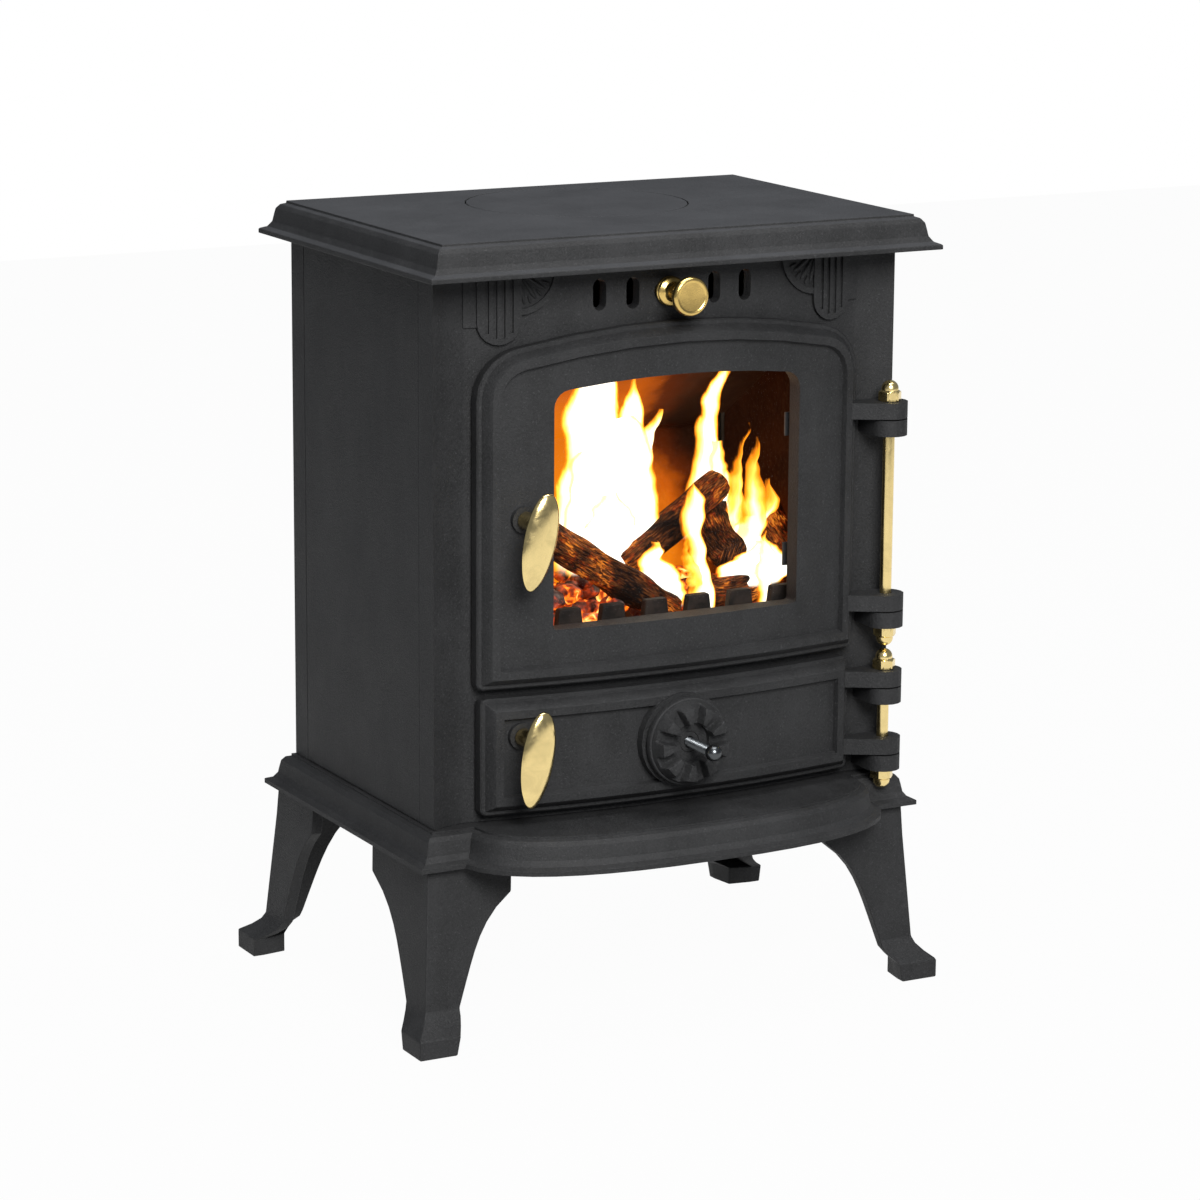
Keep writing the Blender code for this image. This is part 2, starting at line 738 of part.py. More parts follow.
def ornament(side):
    """Fluted tongue between a plain strip and a quarter fan, bent to the front's bow."""
    top = BODY_TOP - SEAT_GAP
    root = PANEL_CROWN + 2 * mm
    tongue_face = PANEL_CROWN - ORNAMENT_RELIEF
    centre_z = TONGUE_BOTTOM_Z + TONGUE_RADIUS
    outline = arc((side * TONGUE_X, centre_z), TONGUE_RADIUS, 180, 360, 10)
    outline += [(side * TONGUE_X + TONGUE_RADIUS, top), (side * TONGUE_X - TONGUE_RADIUS, top)]
    tongue = extrude(outline, "Y", tongue_face, root)
    flutes = TONGUE_RADIUS * 2 - ORNAMENT_RIM * 2
    for i in range(FLUTE_COUNT):
        x = side * TONGUE_X + flutes * ((i + 0.5) / FLUTE_COUNT - 0.5)
        reach = TONGUE_RADIUS - ORNAMENT_RIM
        drop = math.sqrt(reach**2 - (x - side * TONGUE_X) ** 2)
        groove = rectangle(x - FLUTE_WIDTH / 2, centre_z - drop, x + FLUTE_WIDTH / 2, top + 5 * mm)
        depth = tongue_face + FLUTE_DEPTH
        tongue = cut(tongue, extrude(groove, "Y", tongue_face - 5 * mm, depth))
    x0, x1 = sorted((side * TONGUE_X, side * STRIP_OUTER))
    strip = rectangle(x0, STRIP_BOTTOM_Z, x1, top)
    hub = (side * (TONGUE_X - TONGUE_RADIUS + ORNAMENT_RIM / 2), top)
    sweep = (270, 180) if side > 0 else (270, 360)
    fan_face = PANEL_CROWN - FAN_RELIEF
    fan = extrude([hub] + arc(hub, FAN_RADIUS, *sweep, 8), "Y", fan_face, root)
    dish = [hub] + arc(hub, FAN_RADIUS - FAN_RIM, *sweep, 8)
    fan = cut(fan, extrude(dish, "Y", fan_face - 5 * mm, fan_face + FAN_DISH))
    return bowed(joined(fan, tongue, extrude(strip, "Y", PANEL_CROWN - STRIP_RELIEF, root)))


def front_casting():
    """The stove's front: bowed panel, hollow-faced corner columns, openings, lugs and ornament."""
    casting = extrude(front_plan(), "Z", BASE_TOP + SEAT_GAP, BODY_TOP - SEAT_GAP)
    behind, before = BODY_FRONT + 40 * mm, BODY_FRONT - 40 * mm
    casting = cut(casting, extrude(fire_door_outline(FIRE_OPENING_INSET), "Y", before, behind))
    ash_half = ASH_HALF - ASH_OPENING_INSET
    ash = rectangle(-ash_half, ASH_SILL_Z, ash_half, ASH_LINTEL_Z)
    casting = cut(casting, extrude(ash, "Y", before, behind))
    slots = [stadium((0, AIR_Z), 2 * KNOB_SLOT_HALF, KNOB_SLOT_HEIGHT)]
    for x in AIR_SLOT_X:
        for side in (-1, 1):
            slots.append(stadium((side * x, AIR_Z), AIR_SLOT_WIDTH, AIR_SLOT_HEIGHT))
    for slot in slots:
        casting = cut(casting, extrude(slot, "Y", before, behind))
    for side in (-1, 1):
        casting = joined(casting, ornament(side))
    for z in FIRE_LUGS_Z + ASH_LUGS_Z:
        casting = joined(casting, frame_lug(z - LUG_GAP))
    casting = cut(casting, rod_hole())
    rail = SLIDER_Y + SLIDER_THICKNESS
    for way in (-1, 1):
        near, far = SLIDER_HEIGHT / 2 + SEAT_GAP, SLIDER_HEIGHT / 2 + SLIDER_RAIL
        low, high = sorted((way * near, way * far))
        profile = rectangle(PANEL_CROWN + FRONT_WALL - 2 * mm, AIR_Z + low, rail, AIR_Z + high)
        half = SLIDER_HALF + KNOB_SLOT_HALF
        casting = joined(casting, extrude(profile, "X", -half, half))
    return casting


# Body panels


def side_panel(side):
    front = BODY_FRONT + FRONT_RETURN + SEAT_GAP
    back = BODY_BACK - BACK_RETURN - SEAT_GAP
    x0, x1 = sorted((side * SIDE_INNER, side * HALF_BODY))
    wall = box((x0, front, BASE_TOP + SEAT_GAP), (x1, back, BODY_TOP - SEAT_GAP))
    reach = SIDE_INNER - LEDGE_REACH
    ledge = [
        (side * reach, LEDGE_Z),
        (side * (SIDE_INNER + 2 * mm), LEDGE_Z),
        (side * (SIDE_INNER + 2 * mm), LEDGE_Z - 2.2 * LEDGE_THICKNESS),
        (side * reach, LEDGE_Z - 0.7 * LEDGE_THICKNESS),
    ]
    return joined(wall, extrude(ledge, "Y", LEDGE_FRONT, LEDGE_BACK))


def back_panel():
    joint = BODY_BACK - BACK_RETURN
    inner = BODY_BACK - SIDE_WALL
    plan = [
        (-HALF_BODY, joint),
        (-SIDE_INNER, joint),
        (-SIDE_INNER, inner),
        (SIDE_INNER, inner),
        (SIDE_INNER, joint),
        (HALF_BODY, joint),
        (HALF_BODY, BODY_BACK),
        (-HALF_BODY, BODY_BACK),
    ]
    panel = extrude(plan, "Z", BASE_TOP + SEAT_GAP, BODY_TOP - SEAT_GAP)
    reach = SIDE_INNER - LEDGE_REACH - RUNNING_GAP
    ledge = rectangle(GRATE_BACK - 4 * mm, LEDGE_Z - LEDGE_THICKNESS, inner + 2 * mm, LEDGE_Z)
    panel = joined(panel, extrude(ledge, "X", -reach, reach))
    flue = (0, 0, FLUE_Z)
    panel = cut(panel, cylinder("Y", flue, FLUE_RADIUS - FLUE_WALL, joint, BODY_BACK + 9 * mm, 28))
    for place in flue_bolt_places():
        radius = TIE_ROD_RADIUS + BORE_CLEARANCE
        panel = cut(panel, cylinder("Y", place, radius, joint, BODY_BACK + 9 * mm, 10))
    return panel


def flue_bolt_places():
    radius = FLUE_RADIUS + FLUE_FLANGE / 2
    turns = [math.radians(90 + 360 * i / FLUE_BOLTS) for i in range(FLUE_BOLTS)]
    return [(radius * math.cos(t), 0, FLUE_Z + radius * math.sin(t)) for t in turns]


def flue_spigot():
    inner = FLUE_RADIUS - FLUE_WALL
    start, end = BODY_BACK + SEAT_GAP, FLUE_BACK
    flange = FLUE_RADIUS + FLUE_FLANGE
    profile = [
        (inner, start),
        (flange, start),
        (flange, start + FLUE_FLANGE_THICKNESS),
        (FLUE_RADIUS, start + FLUE_FLANGE_THICKNESS),
        (FLUE_RADIUS, end),
        (inner, end),
    ]
    spigot = turned(profile, "Y", (0, 0, FLUE_Z), 28)
    for place in flue_bolt_places():
        radius = TIE_ROD_RADIUS + BORE_CLEARANCE
        spigot = cut(spigot, cylinder("Y", place, radius, start - 5 * mm, end, 10))
    return spigot


def flue_bolt(place):
    head = BODY_BACK + SEAT_GAP + FLUE_FLANGE_THICKNESS + SEAT_GAP
    shank_end = BODY_BACK - SIDE_WALL - 4 * mm
    shank = cylinder("Y", place, TIE_ROD_RADIUS, shank_end, head + 1 * mm, 10)
    outline = hexagon((place[0], place[2]), TIE_NUT_ACROSS)
    cap = extrude(outline, "Y", head, head + TIE_NUT_THICKNESS)
    return joined(cap, shank)


# Base and legs


def base_ring(out, z):
    """Outline of the base in plan, grown by a distance: a rectangle with a bowed hearth lip."""
    half = HALF_BODY + BASE_LAND + out
    start = BODY_FRONT - BASE_LAND
    back = BODY_BACK + BASE_LAND + out
    a, b = HEARTH_HALF + out, HEARTH_OUT + out
    power = 2 / HEARTH_SQUARENESS
    first = math.asin((out / b) ** (1 / power))
    points = [(-half, back, z), (-half, start - out, z)]
    for i in range(HEARTH_STEPS + 1):
        t = math.pi - first - (math.pi - 2 * first) * i / HEARTH_STEPS
        x = math.copysign(abs(math.cos(t)) ** power, math.cos(t))
        points.append((a * x, start - b * math.sin(t) ** power, z))
    return points + [(half, start - out, z), (half, back, z)]


def base_plate():
    rings = [
        base_ring(out, BASE_TOP - drop) for out, drop in moulding(MOULDING_OUT, BASE_THICKNESS)
    ]
    pocket = MOULDING_OUT - BASE_WALL
    rings += [base_ring(pocket, LEG_HEIGHT), base_ring(pocket, BASE_UNDER)]
    plate = loft(rings)
    for side in (-1, 1):
        x0, x1 = sorted((side * RUNNER_X, side * (RUNNER_X + RUNNER_WIDTH)))
        low, high = (x0, PAN_FRONT, BASE_TOP - 2 * mm), (x1, PAN_BACK, PAN_BOTTOM - SEAT_GAP)
        plate = joined(plate, box(low, high))
    for x, y in leg_bolt_places():
        radius = LEG_BOLT_RADIUS + BORE_CLEARANCE
        hole = cylinder("Z", (x, y, 0), radius, BASE_UNDER - 2 * mm, BASE_TOP - 4 * mm, 10)
        plate = cut(plate, hole)
    return plate


def ridge(x_side, y_side, z):
    """Outer corner line of a leg: raked shin, kicked-out foot and upright pad."""
    grown = MOULDING_OUT - BASE_WALL - RUNNING_GAP
    x = HALF_BODY + BASE_LAND + grown
    y = BODY_FRONT - BASE_LAND - grown if y_side < 0 else BODY_BACK + BASE_LAND + grown
    splay = FRONT_LEG_SPLAY if y_side < 0 else BACK_LEG_SPLAY
    if z > LEG_WAIST_Z:
        out = LEG_RAKE_SHARE * max(LEG_HEIGHT - z, 0) / (LEG_HEIGHT - LEG_WAIST_Z)
    else:
        share = (LEG_WAIST_Z - max(z, LEG_PAD_HEIGHT)) / (LEG_WAIST_Z - LEG_PAD_HEIGHT)
        out = LEG_RAKE_SHARE + (1 - LEG_RAKE_SHARE) * share**1.6
    return x_side * (x + splay[0] * out), y + y_side * splay[1] * out


def leg_width(z, widest, waist):
    """Width of a leg's face: a square shoulder, a hollow curve in to the waist, and the foot."""
    shoulder = LEG_HEIGHT - LEG_SHOULDER
    if z >= shoulder:
        return widest
    if z >= LEG_WAIST_Z:
        share = (z - LEG_WAIST_Z) / (shoulder - LEG_WAIST_Z)
        return waist + (widest - waist) * (0.55 * share + 0.45 * share**5)
    share = (LEG_WAIST_Z - max(z, LEG_PAD_HEIGHT)) / (LEG_WAIST_Z - LEG_PAD_HEIGHT)
    taper = LEG_PAD_TAPER if z < LEG_PAD_HEIGHT else 0
    return waist + (LEG_FOOT_WIDTH - waist) * share - taper


def leg_bolt_places():
    places = []
    for x_side in (-1, 1):
        for y_side in (-1, 1):
            x, y = ridge(x_side, y_side, LEG_HEIGHT)
            places.append((x - x_side * LEG_BOLT_INSET, y - y_side * LEG_BOLT_INSET))
    return places


def leg(x_side, y_side):
    """Hollow-backed angle casting whose two faces taper to the waist and flare at the foot."""
    top = BASE_UNDER - SEAT_GAP
    shoulder = LEG_HEIGHT - LEG_SHOULDER
    side_width = FRONT_LEG_SIDE_WIDTH if y_side < 0 else BACK_LEG_SIDE_WIDTH
    levels = [0, LEG_PAD_HEIGHT]
    levels += [LEG_PAD_HEIGHT + (LEG_WAIST_Z - LEG_PAD_HEIGHT) * i / 3 for i in range(1, 4)]
    levels += [LEG_WAIST_Z + (shoulder - LEG_WAIST_Z) * i / 8 for i in range(1, 9)]
    levels.append(top)
    rings = []
    for z in levels:
        x, y = ridge(x_side, y_side, z)
        wide = leg_width(z, LEG_FACE_WIDTH, LEG_WAIST_WIDTH)
        deep = leg_width(z, side_width, LEG_SIDE_WAIST_WIDTH)
        dx, dy = -x_side, -y_side
        inner = LEG_PAD_DEPTH if z <= LEG_PAD_HEIGHT else LEG_WALL
        rings.append(
            [
                (x, y, z),
                (x + dx * wide, y, z),
                (x + dx * wide, y + dy * LEG_WALL, z),
                (x + dx * inner, y + dy * inner, z),
                (x + dx * LEG_WALL, y + dy * deep, z),
                (x, y + dy * deep, z),
            ]
        )
    casting = loft(rings)
    x, y = ridge(x_side, y_side, top - LEG_FLANGE_THICKNESS)
    dx, dy = -x_side, -y_side
    inner = 1.5 * mm
    x0, x1 = sorted((x + dx * inner, x + dx * LEG_FLANGE))
    y0, y1 = sorted((y + dy * inner, y + dy * LEG_FLANGE))
    casting = joined(casting, box((x0, y0, top - LEG_FLANGE_THICKNESS), (x1, y1, top)))
    place = ridge(x_side, y_side, LEG_HEIGHT)
    hole = (place[0] + dx * LEG_BOLT_INSET, place[1] + dy * LEG_BOLT_INSET, 0)
    radius = LEG_BOLT_RADIUS + BORE_CLEARANCE
    return cut(casting, cylinder("Z", hole, radius, top - 2 * LEG_FLANGE_THICKNESS, top + 5 * mm, 10))


def leg_bolt(place):
    """Hexagon bolt up through the leg's flange into the base."""
    under = BASE_UNDER - SEAT_GAP - LEG_FLANGE_THICKNESS - SEAT_GAP
    head = extrude(hexagon(place, LEG_BOLT_ACROSS), "Z", under - LEG_BOLT_HEAD, under)
    end = BASE_TOP - 4 * mm - SEAT_GAP
    return joined(head, cylinder("Z", (*place, 0), LEG_BOLT_RADIUS, under - 1 * mm, end, 10))


def tie_rod_places():
    x = SIDE_INNER - TIE_ROD_INSET
    return [(side * x, y) for side in (-1, 1) for y in (TIE_ROD_FRONT, TIE_ROD_BACK)]


def tie_rod(place):
    """Rod that clamps top and base over the panels, with a nut at each end."""
    low, high = BASE_TOP + SEAT_GAP, STOVE_TOP - TOP_SKIN - SEAT_GAP
    rod = cylinder("Z", (*place, 0), TIE_ROD_RADIUS, low, high, 10)
    outline = hexagon(place, TIE_NUT_ACROSS)
    lower = extrude(outline, "Z", low, low + TIE_NUT_THICKNESS)
    return joined(rod, lower, extrude(outline, "Z", high - TIE_NUT_THICKNESS, high))


# Inside the firebox


def grate():
    low, high = LEDGE_Z + SEAT_GAP, LEDGE_Z + GRATE_THICKNESS
    plan = [
        (-GRATE_HALF, GRATE_BACK),
        (-GRATE_HALF, GRATE_FRONT),
        (-GRATE_NOSE_HALF, GRATE_FRONT),
        (-GRATE_NOSE_HALF, GRATE_NOSE_FRONT),
        (GRATE_NOSE_HALF, GRATE_NOSE_FRONT),
        (GRATE_NOSE_HALF, GRATE_FRONT),
        (GRATE_HALF, GRATE_FRONT),
        (GRATE_HALF, GRATE_BACK),
    ]
    plate = extrude(plan, "Z", low, high)
    span = 2 * (GRATE_HALF - GRATE_SLOT_MARGIN)
    middle = (GRATE_FRONT + GRATE_BACK) / 2
    length = GRATE_BACK - GRATE_FRONT - 2 * GRATE_SLOT_MARGIN
    for i in range(GRATE_SLOTS):
        x = span * ((i + 0.5) / GRATE_SLOTS - 0.5)
        slot = stadium((x, middle), GRATE_SLOT_WIDTH, length, 2)
        plate = cut(plate, extrude(slot, "Z", low - 5 * mm, high + 5 * mm))
    return plate


def log_guard():
    low = LEDGE_Z + GRATE_THICKNESS + SEAT_GAP
    bar = low + GUARD_BAR
    outline = [(-GUARD_HALF, low), (GUARD_HALF, low), (GUARD_HALF, bar)]
    for i in reversed(range(TOOTH_COUNT)):
        x = TOOTH_PITCH * (i - (TOOTH_COUNT - 1) / 2)
        outline += [
            (x + TOOTH_BASE / 2, bar),
            (x + TOOTH_TIP / 2, TOOTH_TOP_Z),
            (x - TOOTH_TIP / 2, TOOTH_TOP_Z),
            (x - TOOTH_BASE / 2, bar),
        ]
    outline.append((-GUARD_HALF, bar))
    return extrude(outline, "Y", GUARD_FRONT, GUARD_FRONT + GUARD_THICKNESS)


def baffle_under(y):
    """Height of the baffle's underside, which rises to the front."""
    return BAFFLE_BACK_Z + (BODY_BACK - SIDE_WALL - y) * BAFFLE_SLOPE


def side_liner(side):
    low = LEDGE_Z + SEAT_GAP
    outline = [
        (LINER_FRONT, low),
        (LINER_BACK, low),
        (LINER_BACK, baffle_under(LINER_BACK) - SEAT_GAP),
        (LINER_FRONT, baffle_under(LINER_FRONT) - SEAT_GAP),
    ]
    inner = GRATE_HALF + 1 * mm
    x0, x1 = sorted((side * inner, side * (inner + LINER_THICKNESS)))
    return extrude(outline, "X", x0, x1)


def rear_liner():
    front = LINER_BACK + 1 * mm
    low, high = LEDGE_Z + SEAT_GAP, baffle_under(front + LINER_THICKNESS) - SEAT_GAP
    half = SIDE_INNER - LEDGE_REACH + 8 * mm
    return box((-half, front, low), (half, front + LINER_THICKNESS, high))


def baffle():
    """Sloping plate on the liners' tops, notched at the back for the tie rods."""
    back = BODY_BACK - SIDE_WALL - RUNNING_GAP
    outline = [
        (BAFFLE_FRONT, baffle_under(BAFFLE_FRONT)),
        (back, baffle_under(back)),
        (back, baffle_under(back) + BAFFLE_THICKNESS),
        (BAFFLE_FRONT, baffle_under(BAFFLE_FRONT) + BAFFLE_THICKNESS),
    ]
    half = GRATE_HALF + LINER_THICKNESS - 2 * mm
    plate = extrude(outline, "X", -half, half)
    for side in (-1, 1):
        x0, x1 = sorted((side * (GRATE_HALF - 2 * mm), side * (half + 5 * mm)))
        notch = box((x0, LINER_BACK + 2 * mm, BASE_TOP), (x1, BODY_BACK, BODY_TOP))
        plate = cut(plate, notch)
    return plate


def ash_pan():
    """Open pan of sheet steel with drafted sides and a turned-out rim."""
    low, high = PAN_BOTTOM, PAN_TOP_Z

    def ring(grow, z):
        half, front, back = PAN_HALF + grow, PAN_FRONT - grow, PAN_BACK + grow
        return rectangle_ring(half, front, back, z)

    return loft(
        [
            ring(-PAN_DRAFT, low),
            ring(-PAN_WALL, high - PAN_WALL),
            ring(0, high - PAN_WALL),
            ring(0, high),
            ring(-2 * PAN_WALL, high),
            ring(-PAN_DRAFT - PAN_WALL, low + PAN_WALL),
        ]
    )


# Doors


def ring_of(outline, y):
    return [(x, y, z) for x, z in outline]


def door_relief():
    """(inset, y) from the skirt's back over the raised band to the field."""
    return [
        (0, SKIRT_BACK),
        (0, SKIRT_FACE + 1 * mm),
        (1 * mm, SKIRT_FACE),
        (SKIRT_WIDTH, SKIRT_FACE),
        (BAND_START - 1 * mm, BAND_FACE + 1.5 * mm),
        (BAND_START + 0.6 * mm, BAND_FACE),
        (BAND_END - 1.5 * mm, BAND_FACE),
        (BAND_END, FIELD_FACE),
    ]


def seal_groove():
    """(inset, y) of the rope's groove in a door's back, from the inside out."""
    far, near = GROOVE_INSET + GROOVE_WIDTH, GROOVE_INSET
    bottom = SKIRT_BACK - GROOVE_DEPTH
    return [(far, SKIRT_BACK), (far, bottom), (near, bottom), (near, SKIRT_BACK)]


def door_lug(z):
    circle_part = circle((HINGE_X, HINGE_Y), LUG_RADIUS, 16)
    start = DOOR_HALF - BAND_END + 1 * mm
    depth = bow(start)
    back = SKIRT_BACK + depth - GROOVE_DEPTH - 0.6 * mm
    roots = [(start, back), (start, BAND_FACE + depth + 4 * mm)]
    return extrude(hull(circle_part + roots), "Z", z, z + LUG_THICKNESS)


def with_hinge_and_handle(door, lugs, place):
    """Adds the lugs, their bores, and the handle's boss and spindle hole."""
    for z in lugs:
        door = joined(door, door_lug(z))
    door = joined(door, cylinder("Y", place, BOSS_RADIUS, -BOSS_HEIGHT, 4 * mm, 16))
    hole = cylinder("Y", place, SPINDLE_RADIUS + BORE_CLEARANCE, -30 * mm, 30 * mm, 14)
    return cut(door, hole, rod_hole())


def fire_door():
    rings = [ring_of(fire_door_outline(inset), y) for inset, y in door_relief()]
    rings += [ring_of(window_outline(), FIELD_FACE), ring_of(window_outline(), SKIRT_BACK)]
    rings += [ring_of(fire_door_outline(inset), y) for inset, y in seal_groove()]
    door = bowed(loft(rings, closed=True))
    deep = WINDOW_SEAT_Y - WINDOW_SEAT_DEPTH
    seat = [
        ring_of(window_outline(-WINDOW_SEAT_WIDTH), deep),
        ring_of(window_outline(-WINDOW_SEAT_WIDTH), WINDOW_SEAT_Y),
        ring_of(window_outline(-0.4 * mm), WINDOW_SEAT_Y),
        ring_of(window_outline(-0.4 * mm), deep),
    ]
    door = joined(door, loft(seat, closed=True))
    return with_hinge_and_handle(door, FIRE_LUGS_Z, FIRE_HANDLE)


def ash_door():
    rings = [ring_of(ash_door_outline(inset), y) for inset, y in door_relief()]
    back = [ring_of(ash_door_outline(inset), y) for inset, y in seal_groove()]
    door = bowed(loft(back + rings))
    place = (0, 0, WHEEL_Z)
    ring_inner = SEAT_RING_RADIUS - SEAT_RING_WIDTH
    deep = FIELD_FACE + 3 * mm
    door = joined(
        door,
        tube("Y", place, SEAT_RING_RADIUS, ring_inner, WHEEL_SEAT, deep, 24),
        cylinder("Y", place, BUSH_RADIUS, WHEEL_SEAT + 1 * mm, deep, 16),
    )
    for i in range(AIR_PORT_COUNT):
        turn = 90 + 360 * i / AIR_PORT_COUNT
        start, end = turn - AIR_PORT_ANGLE / 2, turn + AIR_PORT_ANGLE / 2
        outline = arc((0, WHEEL_Z), AIR_PORT_OUTER, start, end, 6)
        outline += arc((0, WHEEL_Z), AIR_PORT_INNER, end, start, 4)
        door = cut(door, extrude(outline, "Y", BAND_FACE - 20 * mm, SKIRT_BACK + 20 * mm))
    hole = cylinder("Y", place, STUD_RADIUS + BORE_CLEARANCE, STUD_END, SKIRT_BACK + 20 * mm, 12)
    return with_hinge_and_handle(cut(door, hole), ASH_LUGS_Z, ASH_HANDLE)


def rope_seal(outline):
    """Rope pressed into the groove, between the door and the frame's face."""
    middle = GROOVE_INSET + GROOVE_WIDTH / 2
    front, back = SKIRT_BACK - GROOVE_DEPTH + SEAT_GAP, PANEL_CROWN - SEAT_GAP
    width, depth = GROOVE_WIDTH / 2 - SEAT_GAP, (back - front) / 2
    rings = []
    for side, lift in arc((0, 0), 1, 0, 360, 6)[:-1]:
        y = (front + back) / 2 + depth * lift / math.cos(math.radians(30))
        inset = middle + width * side
        rings.append(ring_of(outline(inset), y))
    return bowed(loft(rings, closed=True))


def door_glass():
    back = WINDOW_SEAT_Y + SEAT_GAP + GLASS_THICKNESS
    return extrude(window_outline(-GLASS_LAP), "Y", WINDOW_SEAT_Y + SEAT_GAP, back)


def glass_clip(x_side, z):
    """Cranked clip that laps the pane, with its screw in the door's window seat."""
    seat = WINDOW_SEAT_Y + SEAT_GAP
    pane = seat + GLASS_THICKNESS + SEAT_GAP
    edge = GLASS_HALF + GLASS_LAP
    outer = GLASS_HALF + WINDOW_SEAT_WIDTH - 0.6 * mm
    plan = [
        (edge - 6 * mm, pane),
        (edge + 0.6 * mm, pane),
        (edge + 0.6 * mm, seat),
        (outer, seat),
        (outer, seat + CLIP_THICKNESS),
        (edge + 0.6 * mm + CLIP_THICKNESS, seat + CLIP_THICKNESS),
        (edge + 0.6 * mm + CLIP_THICKNESS, pane + CLIP_THICKNESS),
        (edge - 6 * mm, pane + CLIP_THICKNESS),
    ]
    clip = extrude([(x_side * x, y) for x, y in plan], "Z", z - CLIP_WIDTH / 2, z + CLIP_WIDTH / 2)
    middle = (edge + 0.6 * mm + CLIP_THICKNESS + outer) / 2
    place = (x_side * middle, seat, z)
    head = [(0, 1 * mm), (CLIP_SCREW_RADIUS, 1 * mm), (CLIP_SCREW_RADIUS, 2.4 * mm), (0, 4 * mm)]
    return joined(clip, turned(head, "Y", place, 12))


# Hinge hardware


def acorn_nut(z, way):
    """Domed nut: hexagon against the lug, dome away from it, bored for the rod."""
    outline = hexagon((HINGE_X, HINGE_Y), NUT_ACROSS, 15)
    low, high = sorted((z, z + way * NUT_HEX))
    radius = NUT_ACROSS * NUT_DOME_SHARE
    dome = [(0, way * NUT_HEX * 0.6), (radius, way * NUT_HEX * 0.6)]
    rise = NUT_HEIGHT - NUT_HEX
    for i in range(4):
        t = math.radians(22.5 * i)
        dome.append((radius * math.cos(t), way * (NUT_HEX + rise * math.sin(t))))
    dome.append((0, way * NUT_HEIGHT))
    nut = extrude(outline, "Z", low, high)
    place = (HINGE_X, HINGE_Y, z)
    nut = joined(nut, turned(dome, "Z", place, 14))
    bore = sorted((-way * 2 * mm, way * (ROD_IN_NUT + SEAT_GAP)))
    return cut(nut, cylinder("Z", place, ROD_RADIUS + BORE_CLEARANCE, *bore, 12))


def nut_seats(lugs):
    """Heights of the faces that a hinge's two nuts stand against."""
    low = lugs[1] - LUG_GAP - LUG_THICKNESS - SEAT_GAP
    return lugs[0] + LUG_THICKNESS + SEAT_GAP, low


def hinge_rod(lugs):
    top, bottom = nut_seats(lugs)
    low, high = bottom - ROD_IN_NUT, top + ROD_IN_NUT
    return cylinder("Z", (HINGE_X, HINGE_Y, 0), ROD_RADIUS, low, high, 16)


# Handles


def angles(start, end, steps):
    return [math.radians(start + (end - start) * i / steps) for i in range(steps + 1)]


def leaf():
    """Oval grip with a blunt top and a finer tip, domed to the front, hung by its upper third."""
    widest = LEAF_TOP_BLUNTNESS / (LEAF_TOP_BLUNTNESS + LEAF_TIP_BLUNTNESS)

    def fullness(t):
        return t**LEAF_TOP_BLUNTNESS * (1 - t) ** LEAF_TIP_BLUNTNESS

    rings = []
    for t in (0.006, 0.03, 0.08, 0.16, 0.27, 0.4, 0.53, 0.66, 0.78, 0.88, 0.95, 0.992):
        z = LEAF_LENGTH * (LEAF_PIVOT_SHARE - t)
        share = fullness(t) / fullness(widest)
        half = LEAF_WIDTH / 2 * share
        dome, back = LEAF_DOME * share**0.8, LEAF_BACK * share**0.8
        ring = [(half * math.cos(a), -dome * math.sin(a), z) for a in angles(0, 180, 6)]
        ring += [(half * math.cos(a), -back * math.sin(a), z) for a in angles(240, 300, 1)]
        rings.append(ring)
    return loft(rings)


def handle(pivot, lean):
    """Leaf and turned spindle in one brass casting, leaning as it stands when let go."""
    place = (pivot.x, 0, pivot.z)
    boss_front = pivot.y - BOSS_HEIGHT - SEAT_GAP
    cam_seat = CAM_Y - SEAT_GAP
    end = CAM_Y + CAM_THICKNESS + SEAT_GAP + CAM_NUT_THICKNESS + 0.8 * mm
    profile = [
        (0, LEAF_Y - 1 * mm),
        (SPINDLE_GRIP_RADIUS * 0.75, LEAF_Y - 1 * mm),
        (SPINDLE_GRIP_RADIUS * 0.75, LEAF_Y + 3 * mm),
        (SPINDLE_GRIP_RADIUS, LEAF_Y + 7 * mm),
        (SPINDLE_GRIP_RADIUS, boss_front),
        (SPINDLE_RADIUS, boss_front),
        (SPINDLE_RADIUS, cam_seat),
        (SPINDLE_END_RADIUS, cam_seat),
        (SPINDLE_END_RADIUS, end),
        (0, end),
    ]
    spindle = turned(profile, "Y", place, 14)
    grip = leaf()
    turn = math.radians(lean)
    for v in grip.verts:
        x, depth, up = v.co
        turned_x = x * math.cos(turn) + up * math.sin(turn)
        turned_z = up * math.cos(turn) - x * math.sin(turn)
        v.co = (pivot.x + turned_x, LEAF_Y + depth, pivot.z + turned_z)
    return joined(finished(grip), spindle)


def latch_cam(pivot):
    """Tongue on the spindle's inner end. It hangs clear of the frame until the handle turns."""
    x, z = pivot.x, pivot.z
    outline = circle((x, z), CAM_RADIUS, 16) + circle((x, z - CAM_LENGTH), CAM_TIP_RADIUS, 12)
    cam = extrude(hull(outline), "Y", CAM_Y, CAM_Y + CAM_THICKNESS)
    radius = SPINDLE_END_RADIUS + BORE_CLEARANCE
    return cut(cam, cylinder("Y", (x, 0, z), radius, CAM_Y - 5 * mm, CAM_Y + 9 * mm, 12))


def latch_nut(pivot):
    start = CAM_Y + CAM_THICKNESS + SEAT_GAP
    outline = hexagon((pivot.x, pivot.z), CAM_NUT_ACROSS)
    nut = extrude(outline, "Y", start, start + CAM_NUT_THICKNESS)
    radius = SPINDLE_END_RADIUS + BORE_CLEARANCE
    place = (pivot.x, 0, pivot.z)
    return cut(nut, cylinder("Y", place, radius, start - 5 * mm, start + 9 * mm, 12))


# Air controls


